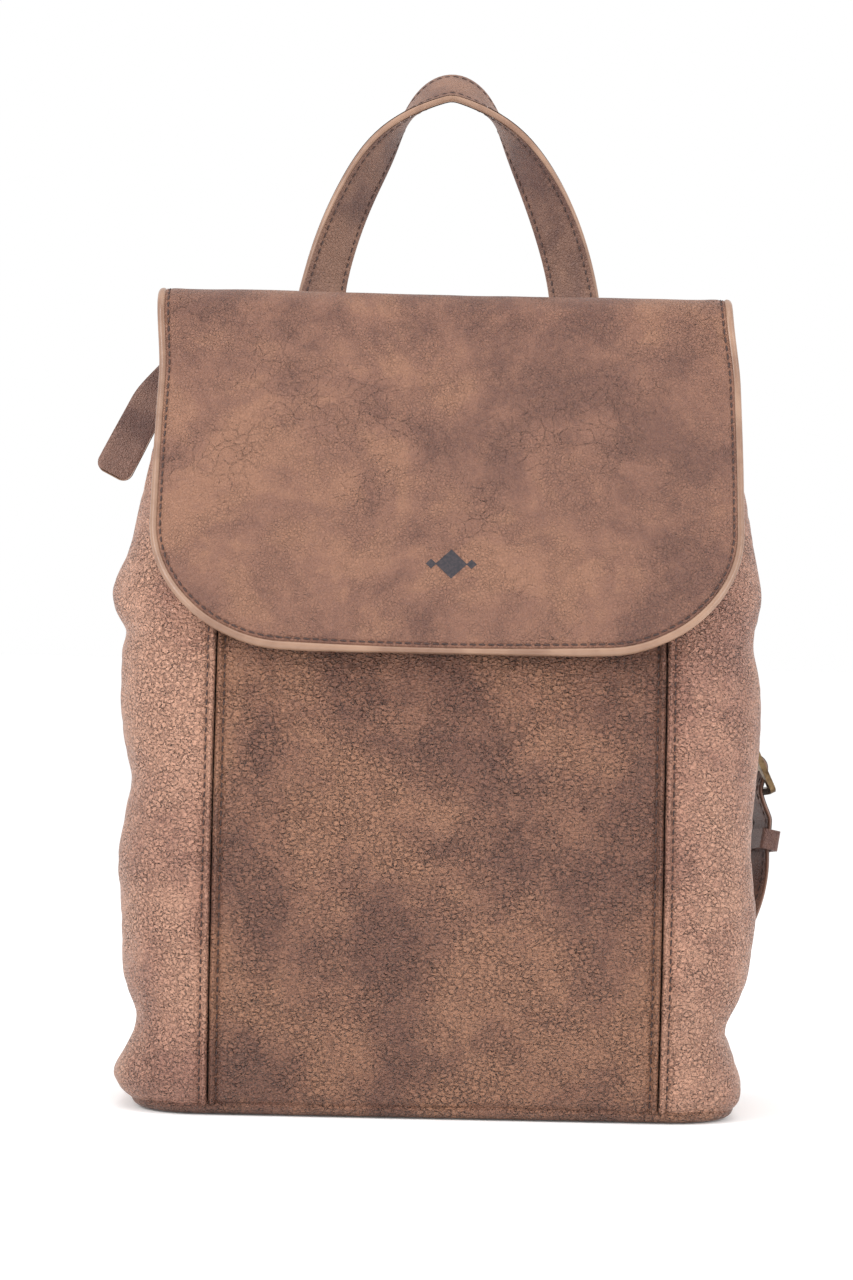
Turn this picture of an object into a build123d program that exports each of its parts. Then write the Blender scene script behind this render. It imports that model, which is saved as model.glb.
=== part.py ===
"""Soft leather flap backpack, as an assembly of its cut pieces and hardware, in millimetres.

The flat base stands on Z = 0 with the origin at its centre. The flap and front panel face -Y, the
wearer's back and the shoulder straps are on +Y, and +X is on the right as seen from the front.
"""

import os
from math import cos, pi, radians, sin

from build123d import *

# ---- Body -------------------------------------------------------------------------------------
back_face = 60.0  # Y of the wearer's side of the back panel
base_width, base_front, base_radius = 254.0, -60.0, 30.0
hip_width, hip_front, hip_radius, hip_height = 262.0, -66.0, 36.0, 40.0
waist_width, waist_front, waist_radius, waist_height = 264.0, -67.0, 38.0, 125.0
shoulder_width, shoulder_front, shoulder_radius, shoulder_height = 270.0, -56.0, 36.0, 212.0
neck_width, neck_front, neck_radius, neck_height = 254.0, -32.0, 28.0, 268.0
rim_width, rim_front, rim_radius, rim_height = 228.0, 0.0, 20.0, 321.0
base_edge_radius = 7.0
leather = 2.0  # body leather
cloth = 0.8  # lining cloth
fit_gap = 0.1  # between layers that lie on each other
lining_gap = 0.4
base_seam_height = 10.0
front_seam_x = 93.0  # the two long seams beside the front panel
back_seam_x = 98.0
board_thickness = 2.5
foam_thickness = 5.0
foam_margin = 14.0  # foam stays this far inside the back panel's edges

# ---- Flap -------------------------------------------------------------------------------------
flap_leather, flap_cloth = 1.8, 1.6  # outer leather and inner leather
flap_thickness = flap_leather + flap_cloth
flap_top_width, flap_width = 236.0, 244.0
flap_widest_height = 262.0
flap_bottom_height = 193.0
flap_corner_radius = 56.0
flap_top_height = 346.0  # outer face of the part that lies over the mouth
flap_root_height = 290.0
flap_bend_radius = 15.0  # at the two folds, to the middle of the sheet
flap_clearance = 5.0  # between the flap and the front panel
binding_width = 3.2
emblem_height, emblem_size, emblem_thickness = 228.0, 13.0, 0.3
fold_cut = 0.15  # each side of a fold line

# ---- Snap closure ------------------------------------------------------------------------------
snap_height = 208.0
snap_radius, snap_thickness = 9.0, 2.0
snap_stem_radius = 3.0
snap_play = 0.4  # between the closed halves
washer_radius, washer_thickness = 8.0, 0.8

# ---- Carry handle --------------------------------------------------------------------------------
handle_width, handle_leather, handle_lining = 23.0, 1.9, 1.7
handle_half_span = 57.0  # centre of each leg at its root
handle_top_height = 441.0  # middle of the strap at the crown
handle_lean_low, handle_lean_high = 13.0, 9.0  # backward, just over the roots and at the crown
handle_twist = [(0, 0), (0.25, 50), (0.6, 62), (0.8, 76), (0.9, 90), (1, 124)]  # degrees, by rise
handle_bend_height = 346.0
handle_gap = 2.2  # each side of the line the handle swings about
handle_fullness = 1.1  # 1 is an ellipse; above 1 makes the arch more pointed
handle_turns = [0, 4, 8, 12, 16, 26, 38, 50, 63, 77, 90, 103, 117, 130, 142, 154, 164, 168, 172, 176, 180]
handle_root_height = 296.0
patch_width, patch_low, patch_high = 144.0, 277.0, 326.0
patch_leather, patch_radius = 1.8, 10.0

# ---- Zip over the mouth --------------------------------------------------------------------------
zip_half_length = 107.0
zip_end_margin = 2.2  # of slot past the last teeth, for the slider
tape_end_margin = 3.2
mouth_half_length = 70.0  # the two doors of the mouth reach this far
end_gap = 0.6  # between the doors and the fixed ends of the zip
door_axis_gap = 0.7  # lining to the line a door folds about
door_edge_gap = 1.5  # from that line to the door's edge
facing_thickness = 1.4
slot_half_width = 6.4  # from the middle of the zip to a facing's edge
tape_thickness, tape_overlap = 0.7, 5.0
tooth_length, tooth_pitch, tooth_height = 3.6, 3.2, 2.4
tooth_width = 1.9
tooth_gap = 1.0  # between the two rows
stop_length = 3.0
slider_length, slider_width, slider_plate = 13.0, 9.6, 1.2
slider_play = 0.3  # above and below the teeth
slider_web = 0.5  # joins the plates between the rows of teeth
slider_rest_x = -102.0
bail_span, bail_wire, bail_width = 8.0, 1.6, 2.4
puller_length, puller_width, puller_thickness = 14.0, 7.0, 1.6
puller_eye, puller_eye_width, puller_rim = 5.0, 4.0, 1.2
puller_height = 3.6  # of its middle over the slider's upper plate
puller_headroom = 2.0  # from its middle to the bar over it
tab_length, tab_width, tab_thickness = 66.0, 17.5, 3.2
tab_neck, tab_taper = 6.4, 34.0
tab_lean = 27.0  # degrees outward from hanging straight down

# ---- Shoulder straps -----------------------------------------------------------------------------
strap_top_x, strap_bottom_x = 24.0, 110.0
strap_top_height, strap_bottom_height = 276.0, 42.0
strap_bulge = 67.0
strap_bulge_bias = 1.8  # above 1 puts the fullest part of the bow low down
strap_roll = {"right": 16.0, "left": 66.0}  # degrees that the bow leans towards the back
strap_root_width, strap_root_top = 30.0, 312.0
swing_start, swing_end, swing_gap = 0.25, 0.93, 0.01  # part of the way from the top to the bottom end
pad_end = 0.56
pad_top_width, pad_end_width = 36.0, 26.0
pad_leather, pad_backing = 4.4, 2.0
tail_width, tail_thickness = 22.0, 2.4
adjuster_bar, adjuster_slot, adjuster_middle = 3.0, 8.6, 3.6
adjuster_thickness, adjuster_side, adjuster_gap = 2.6, 3.0, 0.8
adjuster_place = 0.66
adjuster_shift = 0.15  # each slot's middle, beyond half the pitch of the bars
tail_play = 0.6  # tail to the adjuster's bars
keeper_place, keeper_length, keeper_wall, keeper_gap = 0.79, 9.0, 1.6, 1.5
ring_wire = 3.2
ring_corner = 2.0
ring_inner_width, ring_inner_length = 25.0, 12.0
loop_wall, loop_play, loop_fit = 1.8, 2.6, 0.4
ring_tab_angle = 42.0  # where the tab meets the bag's rounded back corner, in plan
ring_tab_foot = 12.0
ring_tab_gap = 0.6

SIDES = {"left": -1, "right": 1}
made = []


def keep(part, label):
    """Labels a finished piece and puts it on the list to export."""
    part.label = label
    made.append(part)
    return part


# ==== Body shell ==================================================================================
body_sections = [
    (0.0, base_width, base_front, base_radius),
    (hip_height, hip_width, hip_front, hip_radius),
    (waist_height, waist_width, waist_front, waist_radius),
    (shoulder_height, shoulder_width, shoulder_front, shoulder_radius),
    (neck_height, neck_width, neck_front, neck_radius),
    (rim_height, rim_width, rim_front, rim_radius),
]
mouth_middle = (rim_front + back_face) / 2
far = 400.0  # past every edge of the bag


def body_loft(inset, back_inset=None, floor=None):
    """The bag's outline, set in by inset, or by back_inset at the back, with its base at floor."""
    back = back_face - (inset if back_inset is None else back_inset)
    with BuildPart() as outline:
        for height, width, front, radius in body_sections:
            z = height if height > 0 else (inset if floor is None else floor)
            with BuildSketch(Plane.XY.offset(z)):
                with Locations((0, (back + front + inset) / 2)):
                    RectangleRounded(width - 2 * inset, back - front - inset, radius - inset)
        loft()
        fillet(outline.faces().sort_by(Axis.Z)[0].edges(), base_edge_radius - inset)
    return outline.part


def cut_region(source, outline, z_low, z_high, mode=Mode.INTERSECT):
    """The part of source inside an outline, given by its corners in plan, between two heights."""
    with BuildPart() as region:
        add(source)
        with BuildSketch(Plane.XY.offset(z_low)):
            with BuildLine():
                Polyline(*outline, close=True)
            make_face()
        extrude(amount=z_high - z_low, mode=mode)
    return region.part


def plan_box(x_low, x_high, y_low, y_high):
    """The corners of a rectangle in plan."""
    return [(x_low, y_low), (x_high, y_low), (x_high, y_high), (x_low, y_high)]


def side_plan(side):
    """The plan of one side panel, from the front seam round to the back seam."""
    return [
        (side * front_seam_x, -far),
        (side * front_seam_x, mouth_middle),
        (side * back_seam_x, mouth_middle),
        (side * back_seam_x, far),
        (side * far, far),
        (side * far, -far),
    ]


with BuildPart() as skin:
    add(body_loft(0))
    add(body_loft(leather), mode=Mode.SUBTRACT)

front_plan = plan_box(-front_seam_x, front_seam_x, -far, mouth_middle)
back_plan = plan_box(-back_seam_x, back_seam_x, mouth_middle, far)
back_panel = cut_region(skin.part, back_plan, base_seam_height, far)
keep(back_panel, "back_panel")
keep(cut_region(skin.part, plan_box(-far, far, -far, far), -1, base_seam_height), "base_panel")
for name, side in SIDES.items():
    keep(cut_region(skin.part, side_plan(side), base_seam_height, far), f"{name}_side_panel")

board_inset = leather + fit_gap + base_edge_radius
board_top = leather + fit_gap + board_thickness
with BuildPart() as base_board:
    with BuildSketch(Plane.XY.offset(leather + fit_gap)):
        with Locations((0, (back_face + base_front) / 2)):
            RectangleRounded(
                base_width - 2 * board_inset,
                back_face - base_front - 2 * board_inset,
                base_radius - board_inset,
            )
    extrude(amount=board_thickness)
keep(base_board.part, "base_board")

foam_face = back_face - leather - fit_gap
foam_low = base_seam_height + foam_margin
foam_top = rim_height - foam_margin
with BuildPart() as back_foam:
    with BuildSketch(Plane.XZ.offset(-foam_face)):
        with Locations((0, (foam_top + foam_low) / 2)):
            RectangleRounded(2 * (back_seam_x - foam_margin), foam_top - foam_low, foam_margin)
    extrude(amount=foam_thickness)
keep(back_foam.part, "back_foam")

lining_inset = leather + lining_gap
lining_back = leather + foam_thickness + fit_gap + lining_gap
lining_floor = board_top + fit_gap
lining_top = rim_height - facing_thickness - tape_thickness - fit_gap
with BuildPart() as lining_bag:
    add(body_loft(lining_inset, lining_back, lining_floor))
    add(
        body_loft(lining_inset + cloth, lining_back + cloth, lining_floor + cloth),
        mode=Mode.SUBTRACT,
    )
    with BuildSketch(Plane.XY.offset(lining_top)):
        Rectangle(far, far)
    extrude(amount=far, mode=Mode.SUBTRACT)

front_panel = cut_region(skin.part, front_plan, base_seam_height, far)

# ==== Flap ========================================================================================
def front_slope(height):
    """Y of the front panel's outer face at a height, taken straight between the body's sections."""
    stations = [(row[0], row[2]) for row in body_sections]
    for (low, front_low), (high, front_high) in zip(stations, stations[1:]):
        if low <= height <= high:
            return front_low + (front_high - front_low) * (height - low) / (high - low)
    return front_high


def flap_line_y(height):
    """Y of the face where the hanging flap's leather meets its lining."""
    return front_slope(height) - flap_clearance - flap_cloth


flap_root_y = back_face + fit_gap + flap_cloth
flap_roof_z = flap_top_height - flap_leather
front_fold = Vector(0, flap_line_y(rim_height) + 5, flap_roof_z)
neck_point = Vector(0, flap_line_y(neck_height), neck_height)
to_neck = (neck_point - front_fold).normalized()
fold_turn = to_neck.get_angle(Vector(0, -1, 0))
fold_outward = -(to_neck + Vector(0, 1, 0)).normalized()
fold_centre = front_fold - fold_outward * (flap_bend_radius / cos(radians(fold_turn / 2)))
lift_centre = Vector(0, flap_root_y - flap_bend_radius, flap_roof_z - flap_bend_radius)


def flap_layer(thickness, side):
    """A full-width layer of the flap, on one side of the face where its two layers meet."""
    with BuildPart() as layer:
        with BuildSketch(Plane.YZ):
            with BuildLine():
                route = FilletPolyline(
                    (flap_root_y, flap_root_height),
                    (flap_root_y, flap_roof_z),
                    (front_fold.Y, front_fold.Z),
                    (neck_point.Y, neck_point.Z),
                    (flap_line_y(shoulder_height), shoulder_height),
                    (flap_line_y(shoulder_height) - 5, flap_bottom_height),
                    radius=[flap_bend_radius, flap_bend_radius, 120.0, 60.0],
                )
                offset(route, amount=thickness, side=side)
            make_face()
        extrude(amount=flap_width / 2, both=True)
    return layer.part


def flap_outline(inset, below):
    """The flap's front outline in the XZ plane, set in by inset and cut off at the height below."""
    half_top, half = flap_top_width / 2 - inset, flap_width / 2 - inset
    bottom = flap_bottom_height + inset
    with BuildSketch(Plane.XZ) as outline:
        with BuildLine():
            FilletPolyline(
                (-half_top, below),
                (-half_top, flap_top_height),
                (-half, flap_widest_height),
                (-half, bottom),
                (half, bottom),
                (half, flap_widest_height),
                (half_top, flap_top_height),
                (half_top, below),
                radius=[1.0, 200.0, flap_corner_radius - inset, flap_corner_radius - inset, 200.0, 1.0],
            )
            Line((-half_top, below), (half_top, below))
        make_face()
    return outline.sketch


def half_space(origin, normal):
    """A block that fills the side of a plane that its normal points to."""
    with BuildPart() as block:
        with BuildSketch(Plane(origin=origin, x_dir=(1, 0, 0), z_dir=normal)):
            Rectangle(4 * far, 4 * far)
        extrude(amount=4 * far)
    return block.part


def trimmed(layer, outlines, blocks):
    """A layer cut to its outline, less an inner outline where there are two, and to each block."""
    with BuildPart() as cut:
        add(layer)
        for number, outline in enumerate(outlines):
            extrude(outline, amount=far / 2, both=True, mode=Mode.SUBTRACT if number else Mode.INTERSECT)
        for block in blocks:
            add(block, mode=Mode.INTERSECT)
    return cut.part


top = flap_top_height + 40
full_outline = flap_outline(0, top)
inner_outline = flap_outline(binding_width, top + 1)
across_lift = Vector(0, 1, -1).normalized()  # from the roof's side of the fold to the root's
across_unfold = Vector(0, -fold_outward.Z, fold_outward.Y)  # from the roof's side to the front's
root_side = half_space(lift_centre + across_lift * fold_cut, across_lift)
roof_back_side = half_space(lift_centre - across_lift * fold_cut, across_lift * -1)
roof_front_side = half_space(fold_centre - across_unfold * fold_cut, across_unfold * -1)
front_side = half_space(fold_centre + across_unfold * fold_cut, across_unfold)

leather_sheet = flap_layer(flap_leather, Side.RIGHT)
lining_sheet = flap_layer(flap_cloth, Side.LEFT)
both_sheets = leather_sheet + lining_sheet
roof_sides = [roof_back_side, roof_front_side]
root_sides = [root_side, half_space((0, 0, 0), (0, 1, 0))]
keep(trimmed(leather_sheet, [full_outline], root_sides), "flap_root_leather")
keep(trimmed(lining_sheet, [full_outline], root_sides), "flap_root_lining")
keep(trimmed(leather_sheet, [full_outline], roof_sides), "flap_roof_leather")
keep(trimmed(lining_sheet, [full_outline], roof_sides), "flap_roof_lining")
keep(trimmed(leather_sheet, [inner_outline], [front_side]), "flap_front_leather")
flap_lining_front = trimmed(lining_sheet, [inner_outline], [front_side])
keep(trimmed(both_sheets, [full_outline, inner_outline], [front_side]), "flap_edge_binding")

with BuildSketch(Plane.XZ) as lozenge:
    with Locations((0, emblem_height)):
        Rectangle(emblem_size / 2**0.5, emblem_size / 2**0.5, rotation=45)
emblem_sheet = flap_layer(flap_leather + emblem_thickness, Side.RIGHT) - leather_sheet
keep(trimmed(emblem_sheet, [lozenge.sketch], [front_side]), "emblem")

# ==== Snap closure ================================================================================
def snap_disc(radius, inset_outer, inset_inner):
    """A disc that follows the front panel between two distances inside its outer face."""
    with BuildPart() as disc:
        add(body_loft(inset_outer))
        add(body_loft(inset_inner), mode=Mode.SUBTRACT)
        with BuildSketch(Plane.XZ):
            with Locations((0, snap_height)):
                Circle(radius)
        extrude(amount=far, mode=Mode.INTERSECT)
    return disc.part


lining_inner = lining_inset + cloth + fit_gap
socket_stem = snap_disc(snap_stem_radius, 0, lining_inner + washer_thickness)
socket_washer = snap_disc(washer_radius, lining_inner, lining_inner + washer_thickness) - socket_stem
keep(snap_disc(snap_radius, -snap_thickness, 0) + socket_stem, "snap_socket")
keep(socket_washer, "snap_socket_washer")
front_panel = front_panel - socket_stem
keep(front_panel, "front_panel")
keep(lining_bag.part - socket_stem, "lining_bag")

with BuildPart() as stud_stem:
    with BuildSketch(Plane.XZ):
        with Locations((0, snap_height)):
            Circle(snap_stem_radius)
    extrude(amount=far)
    add(flap_lining_front, mode=Mode.INTERSECT)
with BuildPart() as snap_stud:
    with BuildSketch(Plane.XZ.offset(-flap_line_y(snap_height) - flap_leather / 2)):
        with Locations((0, snap_height)):
            Circle(snap_radius)
    extrude(amount=-far / 10)
    add(body_loft(-snap_thickness - snap_play), mode=Mode.SUBTRACT)
    add(lining_sheet, mode=Mode.SUBTRACT)
    add(leather_sheet, mode=Mode.SUBTRACT)
    add(stud_stem.part)
keep(snap_stud.part, "snap_stud")
keep(flap_lining_front - stud_stem.part, "flap_front_lining")


# ==== Ribbons: handle and shoulder straps =========================================================
def ribbon(stations, width, inner, outer, ruled=False):
    """A strap lofted along stations of (centre, tangent, normal), between two depths along its normal.

    width is a number, or a list with one width for each station.
    """
    widths = width if isinstance(width, list) else [width] * len(stations)
    with BuildPart() as strap:
        for (centre, tangent, normal), wide in zip(stations, widths):
            with BuildSketch(Plane(origin=centre, x_dir=tangent.cross(normal), z_dir=tangent)):
                with Locations((0, -(inner + outer) / 2)):
                    Rectangle(wide, outer - inner)
        loft(ruled=ruled)
    return strap.part


def eased(knots, place):
    """A value that goes smoothly from each knot to the next."""
    for (low, value_low), (high, value_high) in zip(knots, knots[1:]):
        if place <= high:
            share = max(0.0, (place - low) / (high - low))
            return value_low + (value_high - value_low) * share * share * (3 - 2 * share)
    return knots[-1][1]


def square_to(direction, axis):
    """A direction turned square to an axis."""
    return (direction - axis * direction.dot(axis)).normalized()


# ---- Carry handle --------------------------------------------------------------------------------
handle_root_y = back_face + fit_gap + flap_thickness + fit_gap + handle_lining
handle_foot_height = handle_bend_height + handle_gap


def handle_centre(turn):
    """Middle of the handle, turn going from 0 at the left bend to 180, with how far it has risen."""
    rise = abs(sin(radians(turn)))
    reach = -cos(radians(turn))
    lean = handle_lean_low * (1 - (1 - rise) ** 4) + handle_lean_high * rise**3
    return rise, Vector(
        handle_half_span * abs(reach) ** handle_fullness * (1 if reach > 0 else -1),
        handle_root_y + lean,
        handle_foot_height + (handle_top_height - handle_foot_height) * rise**handle_fullness,
    )


def handle_station(rise, centre, tangent):
    """Centre, tangent and outer normal: its leather faces back at the roots and up at the crown."""
    twist = radians(eased(handle_twist, rise))
    backward = square_to(Vector(0, 1, 0), tangent)
    return centre, tangent, backward * cos(twist) + tangent.cross(backward) * sin(twist)


handle_points = [handle_centre(turn) for turn in handle_turns]
handle_path = [handle_station(*handle_points[0], Vector(0, 0, 1))]
for before, here, after in zip(handle_points, handle_points[1:], handle_points[2:]):
    handle_path.append(handle_station(*here, (after[1] - before[1]).normalized()))
handle_path.append(handle_station(*handle_points[-1], Vector(0, 0, -1)))
keep(ribbon(handle_path, handle_width, 0, handle_leather, ruled=True), "handle_leather")
keep(ribbon(handle_path, handle_width, -handle_lining, 0, ruled=True), "handle_lining")


def back_plate(x_middle, width, z_low, z_high, y_low, y_high, radius):
    """A flat leather piece lying on the back of the bag."""
    with BuildPart() as plate:
        with BuildSketch(Plane.XZ.offset(-y_high)):
            with Locations((x_middle, (z_low + z_high) / 2)):
                RectangleRounded(width, z_high - z_low, radius)
        extrude(amount=y_high - y_low)
    return plate.part


root_y_low = handle_root_y - handle_lining
root_y_high = handle_root_y + handle_leather
for name, side in SIDES.items():
    root_top = handle_bend_height - handle_gap
    root = back_plate(
        side * handle_half_span, handle_width, handle_root_height, root_top, root_y_low, root_y_high, 0.5
    )
    keep(root, f"{name}_handle_root")
patch_y = root_y_high + fit_gap
yoke = back_plate(0, patch_width, patch_low, patch_high, patch_y, patch_y + patch_leather, patch_radius)
keep(yoke, "yoke_patch")


# ==== Zip over the mouth ==========================================================================
door_outer_front = lining_inset + cloth + door_axis_gap + door_edge_gap
door_outer_back = back_face - lining_back - cloth - door_axis_gap - door_edge_gap
zip_middle = (door_outer_front + door_outer_back) / 2
facing_z = rim_height - facing_thickness
tape_z = facing_z - tape_thickness
tooth_z = tape_z + tape_thickness / 2 - tooth_height / 2
tooth_start = tooth_gap / 2  # from the middle of the zip


def zip_box(x_low, x_high, y_low, y_high, z_low, z_high):
    """A block given by its limits."""
    with BuildPart() as block:
        with BuildSketch(Plane.XY.offset(z_low)):
            with Locations(((x_low + x_high) / 2, (y_low + y_high) / 2)):
                Rectangle(x_high - x_low, y_high - y_low)
        extrude(amount=z_high - z_low)
    return block.part


def teeth(x_low, x_high, y_low):
    """A row of teeth between two places along the zip."""
    count = int((x_high - x_low) / tooth_pitch)
    middle = (x_low + x_high) / 2
    with BuildPart() as row:
        with BuildSketch(Plane.XY.offset(tooth_z)):
            with Locations((middle, y_low + tooth_length / 2)):
                with GridLocations(tooth_pitch, 1, count, 1):
                    Rectangle(tooth_width, tooth_length)
        extrude(amount=tooth_height)
    return row.part


tape_reach = tooth_start + tooth_length  # tape's inner edge, from the middle of the zip
tape_outer = slot_half_width + tape_overlap
DOORS = {"front": (-1, door_outer_front), "back": (1, door_outer_back)}
for name, (side, outer_y) in DOORS.items():
    near, far_edge = sorted([zip_middle + side * slot_half_width, outer_y])
    half = mouth_half_length
    keep(zip_box(-half, half, near, far_edge, facing_z, rim_height), f"facing_{name}")
    near, far_edge = sorted([zip_middle + side * tape_reach, zip_middle + side * tape_outer])
    keep(zip_box(-half, half, near, far_edge, tape_z, facing_z), f"zip_tape_{name}")
    tooth_y = min(zip_middle + side * tooth_start, zip_middle + side * tape_reach)
    keep(teeth(-half, half, tooth_y), f"zip_teeth_{name}")

with BuildPart() as rim_facing:
    add(body_loft(leather + fit_gap))
    add(zip_box(-far, far, -far, far, -1, facing_z), mode=Mode.SUBTRACT)
    reach = mouth_half_length + end_gap
    window_front, window_back = door_outer_front - door_edge_gap, door_outer_back + door_edge_gap
    add(zip_box(-reach, reach, window_front, window_back, 0, far), mode=Mode.SUBTRACT)
    slot_front, slot_back = zip_middle - slot_half_width, zip_middle + slot_half_width
    slot_end = zip_half_length + zip_end_margin
    add(zip_box(-slot_end, slot_end, slot_front, slot_back, 0, far), mode=Mode.SUBTRACT)
keep(rim_facing.part, "rim_facing")
for name, side in SIDES.items():
    tape_end = zip_half_length + tape_end_margin
    x_low, x_high = sorted([side * (mouth_half_length + end_gap), side * tape_end])
    with BuildPart() as end_tape:
        add(zip_box(x_low, x_high, zip_middle - tape_outer, zip_middle + tape_outer, tape_z, facing_z))
        half = zip_half_length
        add(
            zip_box(-half, half, zip_middle - tape_reach, zip_middle + tape_reach, 0, far),
            mode=Mode.SUBTRACT,
        )
    keep(end_tape.part, f"zip_tape_{name}")
    x_low, x_high = sorted([side * (mouth_half_length + end_gap), side * (zip_half_length - stop_length)])
    rows = teeth(x_low, x_high, zip_middle + tooth_start) + teeth(x_low, x_high, zip_middle - tape_reach)
    keep(rows, f"zip_teeth_{name}")

# ---- Slider, puller and leather tab --------------------------------------------------------------
plate_low = tooth_z - slider_play - slider_plate
plate_high = tooth_z + tooth_height + slider_play
plate_top = plate_high + slider_plate
puller_z = plate_top + puller_height
bail_x = slider_rest_x - bail_span / 2
bail_top = puller_z + puller_headroom + bail_wire
with BuildPart() as zip_slider:
    for z in (plate_low, plate_high):
        with BuildSketch(Plane.XY.offset(z)):
            with Locations((slider_rest_x, zip_middle)):
                RectangleRounded(slider_length, slider_width, slider_width / 4)
        extrude(amount=slider_plate)
    with BuildSketch(Plane.XY.offset(plate_low)):
        with Locations((slider_rest_x, zip_middle)):
            Rectangle(slider_length / 2, slider_web)
    extrude(amount=plate_top - plate_low)
    with BuildSketch(Plane.XZ.offset(-zip_middle)):
        with Locations((slider_rest_x, (plate_top + bail_top) / 2)):
            Rectangle(bail_span + bail_wire, bail_top - plate_top)
        with Locations((slider_rest_x, (plate_top + bail_top - bail_wire) / 2)):
            Rectangle(bail_span - bail_wire, bail_top - bail_wire - plate_top, mode=Mode.SUBTRACT)
    extrude(amount=bail_width / 2, both=True)
keep(zip_slider.part, "zip_slider")

puller_right = bail_x + puller_eye / 2 + puller_rim
puller_left = puller_right - puller_length
tab_x = puller_left + puller_thickness / 2
with BuildPart() as zip_puller:
    with BuildSketch(Plane.XY.offset(puller_z - puller_thickness / 2)):
        with Locations(((puller_left + puller_right) / 2, zip_middle)):
            RectangleRounded(puller_length, puller_width, puller_rim)
        with Locations((bail_x, zip_middle), (puller_left + puller_thickness + puller_eye / 2, zip_middle)):
            Rectangle(puller_eye, puller_eye_width, mode=Mode.SUBTRACT)
    extrude(amount=puller_thickness)
keep(zip_puller.part, "zip_puller")

tab_plane = Plane(
    origin=(tab_x, zip_middle, puller_z),
    x_dir=(cos(radians(tab_lean)), 0, -sin(radians(tab_lean))),
    z_dir=(0, -1, 0),
)
with BuildPart() as zip_pull_tab:
    with BuildSketch(tab_plane):
        with BuildLine():
            FilletPolyline(
                (-tab_neck / 2, 0),
                (-tab_neck / 2, -tab_neck / 2),
                (-tab_width / 2, -tab_taper),
                (-tab_width / 2, -tab_length),
                (tab_width / 2, -tab_length),
                (tab_width / 2, -tab_taper),
                (tab_neck / 2, -tab_neck / 2),
                (tab_neck / 2, 0),
                radius=[2.0, 4.0, 5.0, 5.0, 4.0, 2.0],
            )
            Line((-tab_neck / 2, 0), (tab_neck / 2, 0))
        make_face()
        Circle(tab_neck / 2)
        Circle(puller_thickness, mode=Mode.SUBTRACT)
    extrude(amount=tab_thickness / 2, both=True)
keep(zip_pull_tab.part, "zip_pull_tab")


# ---- Shoulder straps -----------------------------------------------------------------------------
strap_y = (root_y_low + root_y_high) / 2
twists = {
    name: [(0, 90), (swing_start, (90 + roll) / 2 + 9), (pad_end, roll), (0.8, roll), (0.965, 90)]
    for name, roll in strap_roll.items()
}


def strap_line(side):
    """Top end, bottom end, direction and outward direction of the line the strap swings about."""
    top_end = Vector(side * strap_top_x, strap_y, strap_top_height)
    bottom_end = Vector(side * strap_bottom_x, strap_y, strap_bottom_height)
    along = (bottom_end - top_end).normalized()
    return top_end, bottom_end, along, along.cross(Vector(0, side, 0))


def strap_centre(name, place):
    """Middle of the strap, place going from 0 at its top end to 1 at its bottom end."""
    top_end, bottom_end, along, outward = strap_line(SIDES[name])
    roll = radians(strap_roll[name])
    bow = strap_bulge * sin(pi * min(max(place, 0.0), 1.0) ** strap_bulge_bias)
    bow_direction = outward * cos(roll) + Vector(0, 1, 0) * sin(roll)
    return top_end + (bottom_end - top_end) * place + bow_direction * bow


def strap_station(name, place, lift=0.0):
    """Centre, tangent and outer normal of the strap, lifted off its middle by a distance."""
    outward = strap_line(SIDES[name])[3]
    tangent = (strap_centre(name, place + 0.005) - strap_centre(name, place - 0.005)).normalized()
    twist = radians(eased(twists[name], place))
    facing = outward * cos(twist) + Vector(0, 1, 0) * sin(twist)
    normal = square_to(facing, tangent)
    return strap_centre(name, place) + normal * lift, tangent, normal


def steps(low, high, count):
    """Evenly spaced places from low to high."""
    return [low + (high - low) * number / (count - 1) for number in range(count)]


def across_plane(name, place):
    """A plane across the strap: X along its width and Y along its outer normal."""
    centre, tangent, normal = strap_station(name, place)
    return Plane(origin=centre, x_dir=tangent.cross(normal), z_dir=tangent * -1)


def flat_plane(name, place):
    """A plane in the strap's own face: X along its width and Y down the strap."""
    centre, tangent, normal = strap_station(name, place)
    return Plane(origin=centre, x_dir=tangent.cross(normal), z_dir=normal)


def strap_loop(origin, outward, along, hole_depth, hole_length):
    """A strap's end sewn round a bar that runs along outward, with a hole of the given size."""
    with BuildPart() as loop:
        with BuildSketch(Plane(origin=origin, x_dir=(0, 1, 0), z_dir=outward)):
            Rectangle(hole_depth + 2 * loop_wall, hole_length + 2 * loop_wall)
            Rectangle(hole_depth, hole_length, mode=Mode.SUBTRACT)
        extrude(amount=tail_width / 2, both=True)
    return loop.part


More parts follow.
